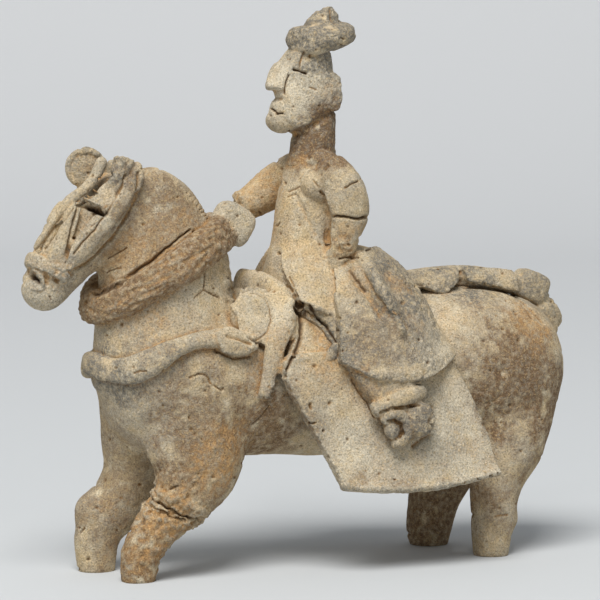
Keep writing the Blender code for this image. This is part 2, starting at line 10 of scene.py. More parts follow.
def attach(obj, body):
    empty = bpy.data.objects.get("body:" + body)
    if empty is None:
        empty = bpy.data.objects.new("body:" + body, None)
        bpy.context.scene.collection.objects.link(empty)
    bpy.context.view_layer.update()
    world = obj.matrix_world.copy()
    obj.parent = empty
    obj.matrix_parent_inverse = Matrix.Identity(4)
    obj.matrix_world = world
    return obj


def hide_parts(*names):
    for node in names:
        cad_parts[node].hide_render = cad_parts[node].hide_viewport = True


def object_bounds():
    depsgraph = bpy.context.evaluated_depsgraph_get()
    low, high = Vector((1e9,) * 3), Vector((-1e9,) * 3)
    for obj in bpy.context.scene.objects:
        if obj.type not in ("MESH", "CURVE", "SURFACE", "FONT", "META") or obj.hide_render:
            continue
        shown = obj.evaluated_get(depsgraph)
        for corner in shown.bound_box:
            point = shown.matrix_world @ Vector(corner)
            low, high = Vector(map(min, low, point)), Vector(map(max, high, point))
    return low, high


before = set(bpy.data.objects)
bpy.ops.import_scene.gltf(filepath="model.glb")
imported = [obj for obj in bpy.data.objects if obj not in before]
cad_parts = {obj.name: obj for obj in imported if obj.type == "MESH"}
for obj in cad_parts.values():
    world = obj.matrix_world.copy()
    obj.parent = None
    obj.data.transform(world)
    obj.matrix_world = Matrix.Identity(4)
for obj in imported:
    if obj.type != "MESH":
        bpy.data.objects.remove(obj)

cad_low, cad_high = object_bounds()


# The horse's trunk, neck, mane, head and legs. Each is a solid roll of buff clay. They were
# pushed together and rubbed over with a wet thumb until the joins were gone.
# Shapes are laid out in grid steps, about a millimetre each, up to the top of the topknot.
TOPKNOT_LEVEL = 149.83
MIDDLE_STEP = -0.9
BODY_GRAIN = 1.2
BODY_RUBS = 18
ROLL_SIDES = 40
ROLL_STEPS = 10
ROUND_END = (17, 35, 55, 75)
LUMP_RINGS = 28
UP = Vector((0, 0, 1))
SIDEWAYS = Vector((0, 1, 0))
FORWARD = Vector((-1, 0, 0))
step = (cad_high.z - cad_low.z) / TOPKNOT_LEVEL


def spline(stations, steps):
    """A smooth curve through the stations, each any number of values long."""
    last = len(stations) - 1
    line = []
    for i in range(last):
        before = stations[max(i - 1, 0)]
        after = stations[min(i + 2, last)]
        for k in range(steps):
            t = k / steps
            line.append([
                0.5 * (2 * q + (r - p) * t + (2 * p - 5 * q + 4 * r - s) * t * t
                       + (3 * q - p - 3 * r + s) * t ** 3)
                for p, q, r, s in zip(before, stations[i], stations[i + 1], after)
            ])
    line.append(list(stations[last]))
    return line


def oval(angle, across, deep, square):
    """A point on an oval whose corners fill out as square grows past 2."""
    c, s = math.cos(angle), math.sin(angle)
    power = 2.0 / square
    return (across * math.copysign(abs(c) ** power, c),
            deep * math.copysign(abs(s) ** power, s))


def ringed(rings, first_pole, last_pole):
    """A closed mesh of rings of points, one pole before the first and one after the last."""
    sides = len(rings[0])
    points = [p for ring in rings for p in ring] + [first_pole, last_pole]
    faces = []
    for i in range(len(rings) - 1):
        for k in range(sides):
            n = (k + 1) % sides
            faces.append((i * sides + k, i * sides + n, (i + 1) * sides + n, (i + 1) * sides + k))
    top = (len(rings) - 1) * sides
    for k in range(sides):
        n = (k + 1) % sides
        faces.append((len(points) - 2, n, k))
        faces.append((len(points) - 1, top + k, top + n))
    mesh = bpy.data.meshes.new("shape")
    mesh.from_pydata(points, [], faces)
    return mesh


def oval_ring(across, deep, square):
    """Points all round an oval."""
    return [oval(2 * math.pi * k / ROLL_SIDES, across, deep, square) for k in range(ROLL_SIDES)]


def tube(points, across, deep, facings, end_lengths, square=2.0):
    """Oval sections along a line, closed by a rounded end at each side."""
    count = len(points)
    sections = []
    for i, point in enumerate(points):
        tangent = (points[min(i + 1, count - 1)] - points[max(i - 1, 0)]).normalized()
        side = tangent.cross(facings[i]).normalized()
        out = side.cross(tangent).normalized()
        if i == 0:
            for a in map(math.radians, ROUND_END[::-1]):
                place = point - tangent * end_lengths[0] * math.sin(a)
                sections.append((place, side, out, across[0] * math.cos(a), deep[0] * math.cos(a)))
            first_pole = point - tangent * end_lengths[0]
        sections.append((point, side, out, across[i], deep[i]))
        if i == count - 1:
            for a in map(math.radians, ROUND_END):
                place = point + tangent * end_lengths[1] * math.sin(a)
                sections.append((place, side, out, across[i] * math.cos(a), deep[i] * math.cos(a)))
            last_pole = point + tangent * end_lengths[1]
    rings = []
    for place, side, out, half_across, half_deep in sections:
        rings.append([place + side * x + out * y for x, y in oval_ring(half_across, half_deep, square)])
    return ringed(rings, first_pole, last_pole)


def sided(stations, side):
    """The stations as they are for side 1, and mirrored across the horse for side -1."""
    return [(s[0], s[1] * side) + tuple(s[2:]) for s in stations]


def roll(stations, facing=UP, ends=(3.0, 3.0), square=2.0, side=1):
    """A tapering roll. A station is x, y, z and the half sizes across and along facing."""
    line = spline(sided(stations, side), ROLL_STEPS)
    points = [Vector(s[:3]) for s in line]
    return tube(points, [s[3] for s in line], [s[4] for s in line], [facing] * len(line), ends, square)


def lump(centre, sizes, turn=(0, 0, 0), square=2.0, squat=2.0, side=1):
    """A rounded lump: half sizes, turned by degrees about X, Y and Z."""
    x, y, z = centre
    turned = Euler([math.radians(a) for a in (turn[0] * side, turn[1], turn[2] * side)])
    place = Matrix.Translation((x, y * side, z)) @ turned.to_matrix().to_4x4()
    ring = oval_ring(sizes[0], sizes[1], square)
    rows = []
    for j in range(1, LUMP_RINGS):
        level, height = oval(math.pi * (j / LUMP_RINGS - 0.5), 1.0, sizes[2], squat)
        rows.append([place @ Vector((x * level, y * level, height)) for x, y in ring])
    return ringed(rows, place @ Vector((0, 0, -sizes[2])), place @ Vector((0, 0, sizes[2])))


def outer_skins(mesh):
    """Fill what is shut in: a closed skin that faces inward is left out."""
    ends = np.empty(len(mesh.edges) * 2, np.int32)
    mesh.edges.foreach_get("vertices", ends)
    a, b = ends.reshape(-1, 2).T
    skin = np.arange(len(mesh.vertices))
    while True:
        low = np.minimum(skin[a], skin[b])
        joined = skin.copy()
        np.minimum.at(joined, a, low)
        np.minimum.at(joined, b, low)
        joined = joined[joined]
        if np.array_equal(joined, skin):
            break
        skin = joined
    flat = np.empty(len(mesh.vertices) * 3)
    mesh.vertices.foreach_get("co", flat)
    mesh.calc_loop_triangles()
    corners = np.empty(len(mesh.loop_triangles) * 3, np.int32)
    mesh.loop_triangles.foreach_get("vertices", corners)
    corners = corners.reshape(-1, 3)
    p, q, r = np.moveaxis(flat.reshape(-1, 3)[corners], 1, 0)
    filled = np.bincount(skin[corners[:, 0]], np.sum(p * np.cross(q, r), axis=1), len(skin))
    shut_in = filled[skin] <= 0
    if not shut_in.any():
        return mesh
    bm = bmesh.new()
    bm.from_mesh(mesh)
    bm.verts.ensure_lookup_table()
    bmesh.ops.delete(bm, geom=[bm.verts[i] for i in np.flatnonzero(shut_in)], context='VERTS')
    bm.to_mesh(mesh)
    bm.free()
    return mesh


def press(shapes, grain, rubs, rounder=0):
    """Press the shapes into one skin of one grain and rub its joins. rounder splits it finer."""
    bm = bmesh.new()
    for shape in shapes:
        bm.from_mesh(shape)
    mesh = bpy.data.meshes.new("clay")
    bm.to_mesh(mesh)
    bm.free()
    work = bpy.data.objects.new("clay", mesh)
    bpy.context.scene.collection.objects.link(work)
    skin = work.modifiers.new("skin", 'REMESH')
    skin.mode = 'VOXEL'
    skin.voxel_size = grain
    rub = work.modifiers.new("rub", 'SMOOTH')
    rub.factor = 0.5
    rub.iterations = rubs
    if rounder:
        rounding = work.modifiers.new("rounder", 'SUBSURF')
        rounding.levels = rounder
        rounding.render_levels = rounder
    graph = bpy.context.evaluated_depsgraph_get()
    pressed = bpy.data.meshes.new_from_object(work.evaluated_get(graph))
    bpy.data.objects.remove(work, do_unlink=True)
    return outer_skins(pressed)


def skin_tree(mesh):
    """The skin of a mesh as something that strips can be laid on and marks snapped to."""
    bm = bmesh.new()
    bm.from_mesh(mesh)
    tree = BVHTree.FromBMesh(bm)
    bm.free()
    return tree


trunk = roll([
    (-45, 0, 53, 17.5, 19.5), (-30, 0, 51.5, 18, 21), (-12, 0, 50, 16.5, 20.5),
    (8, 0, 49.4, 16, 21), (30, 0, 50, 17.5, 22.5), (48, 0, 50, 20, 23.5), (60, 0, 49, 19.5, 22),
], ends=(14.5, 17.6))
neck = roll([
    (-38.8, 0, 54, 16, 23), (-41.3, 0, 70, 13.5, 19.6), (-41.8, 0, 84, 11, 17),
    (-44, 0, 95.4, 9, 12.4), (-48.5, 0, 102.6, 7.5, 8.4),
], facing=FORWARD, ends=(4, 4))
mane = roll([
    (-51, 0, 103, 2.2, 3), (-44, 0, 101.5, 2.2, 3), (-37.4, 0, 97.7, 2.4, 3.2),
    (-31.6, 0, 92.4, 2.6, 3.6), (-26.8, 0, 84, 2.8, 4), (-25, 0, 74, 3.4, 4),
])
head = roll([
    (-48, 0, 102.6, 7, 7.4), (-55, 0, 97.4, 7.2, 9), (-61.6, 0, 91.2, 6.4, 8.6),
    (-69, 0, 83.6, 5.4, 7.2), (-76.2, 0, 76, 5.2, 6.3),
], ends=(3, 5), square=2.6)
near_fore_stations = [
    (-37.4, -8, 46, 9.5, 15), (-36.6, -9.5, 31, 8.5, 13.6), (-40.2, -10.5, 22, 7.2, 9),
    (-45.4, -10.5, 16.6, 6.2, 6.9), (-50.2, -10.5, 11, 5.6, 5.9), (-53, -10.5, 6, 5.2, 5.3),
    (-53.9, -10.5, -2, 4.6, 4.8),
]
near_fore = roll(near_fore_stations, facing=Vector((-1, 0, 0.2)), ends=(4, 1))
far_fore = roll([
    (-43, 8, 46, 9.5, 13.5), (-44.8, 9.5, 32, 8.5, 10.4), (-46.4, 10.5, 24.5, 7.2, 8.2),
    (-51, 10.5, 17, 6.2, 8), (-56, 10.5, 11, 5.6, 6.3), (-56.9, 10.5, 5, 5.3, 5.6),
    (-56.9, 10.5, -2, 4.8, 5.0),
], facing=Vector((-1, 0, 0.2)), ends=(4, 1))
far_knee = lump((-57, 10.5, 16), (6, 5.2, 6))
near_hind = roll([
    (59, -7, 44, 10, 15), (55.8, -10.5, 30, 9.5, 11.8), (52.6, -12, 19, 7.4, 7.4),
    (51.4, -12.5, 11, 6.4, 6.3), (50.6, -12.5, 5, 6, 5.6), (50.4, -12.5, -2, 5.2, 4.8),
], facing=FORWARD, ends=(4, 1))
near_fetlock = lump((54.6, -12.5, 9.6), (4.6, 4.4, 3))
far_hind = roll([
    (55, 7, 44, 10, 16), (50.5, 10.5, 28, 9.5, 13), (46.8, 12, 15.5, 7.6, 8.2),
    (45.2, 12, 9, 6.8, 7), (44.4, 12, 4, 6.4, 6.9), (44.8, 12, -2, 5, 5.2),
], facing=FORWARD, ends=(4, 1))
body = press([trunk, neck, mane, head, near_fore, far_fore, far_knee, near_hind, near_fetlock, far_hind],
             BODY_GRAIN, BODY_RUBS, rounder=1)
horse_skin = skin_tree(body)


def sliced(shape, place, away):
    """The part of a closed shape that is left when all beyond a plane is cut off and closed flat."""
    bm = bmesh.new()
    bm.from_mesh(shape)
    everything = bm.verts[:] + bm.edges[:] + bm.faces[:]
    bmesh.ops.bisect_plane(bm, geom=everything, plane_co=place, plane_no=away, clear_outer=True)
    bmesh.ops.holes_fill(bm, edges=[e for e in bm.edges if e.is_boundary])
    mesh = bpy.data.meshes.new("slice")
    bm.to_mesh(mesh)
    bm.free()
    return mesh


# The horse's skin is worked in two halves that meet out of sight, under the middle of the collar.
COLLAR_MIDDLE = Vector((-42, 0, 82))
ACROSS_COLLAR = Vector((-0.446, 0, 0.895))
COLLAR_OVERLAP = 1.5
head_parts = {"body": [sliced(body, COLLAR_MIDDLE - ACROSS_COLLAR * COLLAR_OVERLAP, -ACROSS_COLLAR)]}
horse_parts = {"body": [sliced(body, COLLAR_MIDDLE + ACROSS_COLLAR * COLLAR_OVERLAP, ACROSS_COLLAR)]}
gear_parts = {}


# The face and bridle: thin rolls and leaves of the same clay laid down the horse's face and
# cheeks and round its nose. The ears are pinched from pellets, and the near one is snapped off.
SHEET_STEPS = 10
CHEEK_LEAF_THICKNESS = 2.4
EAR_MIDDLE = Vector((-61.6, 4.4, 107.6))
EAR_RIM_RADIUS = 4.7


def sheet(rows, thickness, side=1):
    """A slab of one thickness bent through rows of stations, x, y, z each."""
    lines = [spline(sided(row, side), SHEET_STEPS) for row in rows]
    columns = [spline([line[i] for line in lines], SHEET_STEPS) for i in range(len(lines[0]))]
    grid = [[Vector(p) for p in column] for column in columns]
    wide, long = len(grid), len(grid[0])
    points = []
    for sign in (1, -1):
        for i in range(wide):
            for j in range(long):
                along = grid[min(i + 1, wide - 1)][j] - grid[max(i - 1, 0)][j]
                down = grid[i][min(j + 1, long - 1)] - grid[i][max(j - 1, 0)]
                points.append(grid[i][j] + along.cross(down).normalized() * sign * thickness / 2)
    under = wide * long
    faces = []
    for i in range(wide - 1):
        for j in range(long - 1):
            quad = (i * long + j, (i + 1) * long + j, (i + 1) * long + j + 1, i * long + j + 1)
            faces.append(quad)
            faces.append(tuple(under + k for k in quad[::-1]))
    edge = ([(i, 0) for i in range(wide - 1)] + [(wide - 1, j) for j in range(long - 1)]
            + [(i, long - 1) for i in range(wide - 1, 0, -1)] + [(0, j) for j in range(long - 1, 0, -1)])
    rim = [i * long + j for i, j in edge]
    for k, m in zip(rim, rim[1:] + rim[:1]):
        faces.append((k, m, under + m, under + k))
    mesh = bpy.data.meshes.new("sheet")
    mesh.from_pydata(points, [], faces)
    return mesh


bridle = [
    roll([
        (-60.4, -3.4, 109.6, 1.5, 1.5), (-62.8, -3.6, 105.2, 1.6, 1.6), (-65.2, -3.6, 102.7, 1.6, 1.6),
        (-67.2, -3.3, 101.4, 1.5, 1.5), (-69.4, -2.8, 99.7, 1.5, 1.5), (-71.6, -2.1, 97, 1.3, 1.3),
        (-73.3, -1.3, 94.4, 1.2, 1.2), (-74.9, -0.8, 91.9, 1.1, 1.1), (-76.6, -0.4, 89.6, 1, 1),
        (-77.6, 0, 87.8, 0.9, 0.9),
    ], ends=(1.4, 1)),
    lump((-62.8, 0, 97.2), (3.2, 4.6, 5.2), turn=(0, 32, 0)),
    lump((-66.6, -0.6, 97), (2.2, 3.2, 2.2)),
    lump((-72, 0, 88.6), (3.2, 3.4, 7.6), turn=(0, 32, 0)),
    roll([
        (-72.4, -6, 80.4, 2.2, 1.7), (-75, -5.6, 82.2, 2.3, 1.8), (-77.6, -3.4, 83.6, 2.3, 1.8),
        (-78.4, 0, 84.4, 2.3, 1.8), (-77.6, 3.4, 83.6, 2.3, 1.8), (-73, 5.8, 80.8, 2.3, 1.8),
    ], facing=Vector((-1, 0, 0.4)), ends=(1.6, 1.6), square=2.6),
]
for side in (-1, 1):
    bridle += [
        roll([
            (-52.7, 6.8, 108.2, 1.9, 1.9), (-53.1, 7.8, 104.8, 2.4, 2.2), (-56.6, 8.2, 100.4, 2.6, 2.3),
            (-61.2, 8.2, 95.4, 2.6, 2.3), (-65.6, 7.5, 90.6, 2.6, 2.2), (-69.2, 6.6, 86, 2.5, 2),
            (-71.8, 6, 82.6, 2, 1.7),
        ], facing=SIDEWAYS, ends=(1.6, 1.4), square=2.7, side=side),
        roll([
            (-68.2, 4.2, 98.2, 1.3, 1.8), (-70.2, 4.7, 94.2, 1.9, 1.9), (-72, 5, 89.6, 2.3, 1.9),
            (-73.8, 5.1, 85.4, 2.6, 1.8), (-75, 5, 82.6, 2.5, 1.7),
        ], facing=SIDEWAYS, ends=(1, 1), square=3, side=side),
        sheet([
            [(-59.2, 5.6, 106), (-57.8, 7.2, 105.6), (-56, 8.2, 104.8)],
            [(-62.6, 5.4, 102.4), (-60.4, 7.2, 101.2), (-58.4, 8.3, 100.2)],
            [(-66.4, 4.8, 100), (-63.8, 6.9, 98.7), (-61.2, 8, 97.6)],
        ], CHEEK_LEAF_THICKNESS, side=side),
        lump((-77.8, 3, 79.2), (2.4, 2.4, 2.8), side=side),
    ]
rim_across = Vector((0.88, -0.47, 0))
ear_rim = []
for degrees in range(230, 30, -20):
    angle = math.radians(degrees)
    outward = rim_across * math.cos(angle) + UP * math.sin(angle)
    spot = EAR_MIDDLE + outward * EAR_RIM_RADIUS
    ear_rim.append(tuple(spot) + (0.8, 1.0))
ears = [
    lump((-61, 5, 107.4), (1.9, 5.2, 5.5), turn=(0, 0, 62), square=2.2),
    roll(ear_rim, facing=Vector((-0.47, -0.88, 0)), ends=(0.8, 0.8)),
    roll([
        (-58.8, -6.2, 101.6, 3, 1.8), (-57.4, -6.9, 105, 2.8, 2.1), (-56.4, -7, 108, 2.4, 2.1),
        (-55.8, -7, 110.6, 2.6, 2.1),
    ], facing=SIDEWAYS, ends=(1.5, 0.4), square=3.4),
]
head_parts["bridle"] = bridle
head_parts["ears"] = ears


# The harness: a thick collar roll round the neck, closed by a knot on the mane, a flat strip
# across the breast, and a crupper roll over the rump that ends in a block and the tail.
COLLAR = (9.5, 6.4, 0.33)
BREAST_STRAP = (6.6, 4.0, 0.25)
CRUPPER = (7.2, 6.0, 0.06)
STRAP_SQUARE = 2.7
STRAP_RUBS = 4
LEAF_THICKNESS = 1.8


def strap(route, size, swell):
    """A strip laid on the horse. size is its width, its thickness and the share pressed in."""
    width, thickness, sink = size
    points, facings, halves = [], [], []
    for x, y, z, wide in spline([tuple(p) + (s,) for p, s in zip(route, swell)], ROLL_STEPS // 2):
        place, normal, _, _ = horse_skin.find_nearest(Vector((x, y, z)))
        points.append(place)
        facings.append(normal)
        halves.append(width * wide / 2)
    last = len(points) - 1
    for _ in range(STRAP_RUBS):
        facings = [(facings[max(i - 1, 0)] + facings[i] * 2 + facings[min(i + 1, last)]).normalized()
                   for i in range(last + 1)]
        points = [(points[max(i - 1, 0)] + points[i] * 2 + points[min(i + 1, last)]) / 4
                  for i in range(last + 1)]
    points = [p + f * thickness * (0.5 - sink) for p, f in zip(points, facings)]
    deep = [thickness / 2] * len(points)
    return tube(points, halves, deep, facings, (thickness, thickness), STRAP_SQUARE)


collar_side = [
    (-23, -5, 92), (-29, -10, 89.5), (-38, -13, 85), (-48, -13.5, 79.8), (-56, -11, 75.4),
    (-61.6, -5, 72.6),
]
collar_top = [(-21, 0, 92.5)]
collar_route = collar_top + collar_side + [(-62.6, 0, 71.8)] + sided(collar_side, -1)[::-1] + collar_top
gear_parts["collar"] = [strap(collar_route, COLLAR, [1] * len(collar_route))]
gear_parts["knot"] = [lump((-22.6, -2, 92.4), (5.6, 3.4, 5.5), turn=(0, 30, 0), square=3.6, squat=3.2)]
breast_side = [
    (-24.5, -17, 62.2), (-31, -18, 64.3), (-38, -18.5, 64.4), (-45, -18, 62.3), (-51.5, -16.5, 58.7),
    (-57.6, -14, 56.2), (-62, -8, 55.4),
]
breast_route = breast_side + [(-63.5, 0, 57)] + sided(breast_side, -1)[::-1]
half_swell = [0.8, 0.85, 0.7, 0.8, 1.05, 1.1, 1.0]
gear_parts["breast_strap"] = [
    strap(breast_route, BREAST_STRAP, half_swell + [1.0] + half_swell[::-1]),
    sheet([
        [(-34.6, -17.4, 65.2), (-30.2, -16.8, 66.2), (-26.6, -17.6, 65)],
        [(-34, -18.2, 62.6), (-29, -18.4, 62.6), (-22.6, -18, 61.2)],
        [(-33, -18.4, 60), (-29, -18.6, 59.2), (-25.2, -18.6, 59.4)],
    ], LEAF_THICKNESS),
]
crupper_route = [
    (30, 0, 74), (38, -0.5, 75), (46, 0.4, 76), (54, -0.4, 76), (62, 0, 74), (69, 0, 69), (73.5, 0, 63),
]
gear_parts["crupper"] = [
    strap(crupper_route, CRUPPER, [1, 1, 0.95, 1.05, 1, 1, 1]),
    sheet([
        [(24, -2.8, 77.4), (24.5, -4.4, 74.8), (25, -5.2, 72.6)],
        [(31.6, -3, 78), (32, -4.8, 75.4), (32.4, -5.4, 73.6)],
        [(38, -3, 78.2), (38.6, -5, 75), (39.4, -6, 71.8)],
        [(44.6, -2.8, 78.4), (45, -4, 77), (45.4, -4.6, 75.6)],
    ], LEAF_THICKNESS),
    sheet([
        [(46.6, -2.4, 78.4), (47, -4, 76.2), (47.4, -4.6, 74.4)],
        [(54, -2.6, 78), (54.6, -4.4, 75.4), (55, -4.8, 73.2)],
        [(62, -3, 76.6), (62.6, -4.8, 74), (63, -5.2, 71.4)],
    ], LEAF_THICKNESS),
    lump((69.6, 0, 72), (4.7, 4.4, 4.3), turn=(0, 22, 0), square=4.4, squat=4.4),
    lump((73.4, 0, 63.2), (3.7, 4.6, 5.8), turn=(0, -14, 0), square=3.4, squat=3),
]


# The saddle: a raised front arch bent from one strip, a round pad pressed against each of its
# sides, a seat, and two broad slabs that hang down over the flanks.
FLAP_THICKNESS = 3.2
PLATE_THICKNESS = 4.0
NEAR_FLAP_HEM = 22.0
FAR_FLAP_HEM = 27.0
arch_side = [
    (-20.4, -17.4, 48.4, 1.6, -0.2, -1, 0, 1.1), (-19, -18, 54.4, 2.4, -0.2, -1, 0.1, 1.5),
    (-16.8, -17.4, 61.6, 2.9, -0.2, -1, 0.1, 2.1), (-14.4, -16, 67, 3.9, -0.25, -0.95, 0.2, 2.4),
    (-14, -13.2, 71.4, 4.2, -0.45, -0.85, 0.25, 2.5), (-14.6, -9.4, 74.4, 4, -0.75, -0.6, 0.25, 2.5),
    (-16.2, -5, 76, 3.8, -0.95, -0.3, 0.2, 2.5),
]
far_arch_side = [(x, -y, z, half, fx, -fy, fz, deep) for x, y, z, half, fx, fy, fz, deep in arch_side]
arch_line = spline(arch_side + [(-17.2, 0, 76.4, 3.6, -1, 0, 0.15, 2.5)] + far_arch_side[::-1], ROLL_STEPS)
gear_parts["pommel"] = [
    tube([Vector(s[:3]) for s in arch_line], [s[3] for s in arch_line], [s[7] for s in arch_line],
         [Vector(s[4:7]).normalized() for s in arch_line], (1, 1), 2.6),
    lump((-17, 0, 68), (7.6, 14, 7.4), square=2.4),
]
for side in (-1, 1):
    gear_parts["pommel"].append(sheet([
        [(-23, 9, 75), (-18.6, 11.4, 75), (-14.6, 12.4, 74)],
        [(-26.4, 12.6, 68.6), (-20, 14.2, 68.6), (-14, 15.6, 68)],
        [(-25, 13.6, 61), (-20, 15.4, 61), (-15, 17.6, 60.6)],
    ], PLATE_THICKNESS, side=side))
gear_parts["pads"] = [
    lump((-22, 13.2, 68.4), (6, 2.3, 7), turn=(-8, 0, 16), square=3.2, side=side)
    for side in (-1, 1)
]
gear_parts["seat"] = [
    roll([(-12, 0, 69, 12, 6), (0, 0, 69, 15, 6), (14, 0, 69, 15, 6), (28, 0, 70, 12, 5)], ends=(4, 5)),
]
gear_parts["flaps"] = []
for side, hem in ((-1, NEAR_FLAP_HEM), (1, FAR_FLAP_HEM)):
    gear_parts["seat"] += [
        sheet([
            [(-10, 12.6, 70.5), (8, 14.6, 70), (20, 14.6, 69.5), (27, 13.4, 67)],
            [(-12.4, 17.2, 62.6), (8, 18, 61), (22, 17.6, 60.5), (31, 16.6, 59)],
            [(-14.4, 19.4, 56), (6, 20, 54), (22, 20, 53), (34, 19, 53)],
        ], FLAP_THICKNESS, side=side),
        lump((6, 14, 60), (19, 4, 8), side=side),
        lump((14, 16.6, 70), (10, 5.4, 9), side=side),
        lump((18, 21.4, 60), (8, 4.2, 9), side=side),
        lump((20.4, 24, 54.4), (5, 2.8, 4.4), side=side),
        lump((-9, 9.4, 72.4), (4.4, 4, 3), side=side),
    ]
    gear_parts["flaps"].append(sheet([
        [(-14.2, 19.8, 58.8), (-2, 20, 59), (14, 20.4, 58), (32.4, 18.6, 57.6)],
        [(-16.6, 20.8, 53.6), (2, 21.6, 51.4), (20, 21.8, 50.4), (36.2, 21, 50)],
        [(-9, 24, 37.6), (8, 24.6, 36.6), (26, 24.8, 36.6), (41, 24, 37.6)],
        [(-1.6, 27, hem + 1.2), (12, 27.8, hem), (30, 28, hem + 0.4), (45.2, 27, hem + 2.4)],
    ], FLAP_THICKNESS, side=side))


# The rider, built on the saddle: an upright roll for the body, one for each arm, a neck, and a
# head flattened from a lump, with a pinched nose and chin. The far forearm is snapped off.
rider_parts = {}
rider_head_parts = {}
rider_parts["torso"] = [
    roll([
        (1, 0, 66, 16, 14), (0.4, 0, 76, 13.5, 12.4), (0.4, 0, 86, 10.8, 9.6), (1, 0, 96, 10, 8.4),
        (1.6, 0, 104, 9.6, 7), (2, 0, 109, 7, 5.6),
    ], facing=FORWARD, ends=(3, 2)),
    lump((12, 0, 75), (12.6, 14.4, 11), turn=(0, 6, 0), square=2.6, squat=2.6),
]
for side in (-1, 1):
    rider_parts["torso"] += [
        lump((1.4, 7.6, 102.6), (6, 5, 5.4), side=side),
        lump((2.6, 5.6, 108.4), (4.8, 4.8, 3.6), side=side),
    ]
rider_head_parts["neck"] = [
    roll([(2.2, 0, 107, 7, 6.8), (2.6, 0, 112, 5.8, 6.2), (2.8, 0, 121, 5.2, 6)],
         facing=FORWARD, ends=(2, 2)),
]
rider_parts["near_arm"] = [
    roll([
        (3.2, -9, 106.4, 5, 5), (5.2, -12.8, 101.6, 5.6, 5.8), (6.2, -14, 95.6, 5.3, 5.7),
        (5.4, -13.8, 90, 4.4, 4.6), (4.2, -13.2, 85.6, 3.8, 4), (3.6, -12.6, 81, 3.4, 3.6),
    ], facing=FORWARD, ends=(3, 2)),
    lump((4.6, -9.6, 90), (3.4, 3.2, 7.4)),
]
rider_parts["far_arm"] = [
    roll([
        (1.6, 8.6, 106.2, 5, 5), (-3.4, 12.4, 101, 5, 5.8), (-9.2, 13.4, 97.4, 4.4, 4.8),
        (-12.8, 13.4, 96.2, 4, 4),
    ], ends=(3, 1.2)),
]
rider_head_parts["face"] = [
    roll([
        (2.4, 0, 138, 4.7, 4.6), (1, 0, 133, 5.6, 6.6), (-0.2, 0, 127.6, 5.9, 7.6),
        (-2.2, 0, 122.6, 5.7, 7.8), (-4.4, 0, 118.8, 5.2, 6.2),
    ], facing=FORWARD, ends=(1.6, 2.2), square=3.2),
    lump((-6.8, 0, 119.6), (4, 4.4, 3.4), square=2.7),
    roll([
        (-0.8, 0, 138.6, 4.4, 2), (-2.8, 0, 135, 4.6, 2.8), (-5, 0, 131.2, 4.7, 3.8),
        (-6.4, 0, 127.4, 4.4, 4.1),
    ], facing=FORWARD, ends=(1, 1.2), square=3.6),
]
for side in (-1, 1):
    rider_head_parts["face"] += [
        lump((4.6, 4.8, 127), (3.9, 1.5, 5.2), square=5, squat=4, side=side),
        lump((1.8, 4.6, 126.6), (3.8, 1.5, 6), square=3, squat=3, side=side),
    ]


# The rider's hat: a round slab for the brim, with a knot of clay pressed on top.
HAT_RADIUS = 9.5
HAT_HALF_THICKNESS = 3.9
rider_head_parts["hat"] = [
    lump((4.9, 0, 141.7), (HAT_RADIUS, HAT_RADIUS, HAT_HALF_THICKNESS), turn=(0, -7, 0), squat=2.4),
    lump((0.8, -1.2, 140.9), (5, 6.4, 4), turn=(0, -4, 0), square=2.6, squat=4),
    lump((5.4, 0, 144.8), (5.1, 4.9, 4), square=2.2, squat=1.6),
    lump((5.8, 0, 146.6), (3.9, 3.7, 2.5), turn=(0, -10, 0), square=2.4),
    lump((6.9, 0, 148), (2.1, 2, 2)),
]


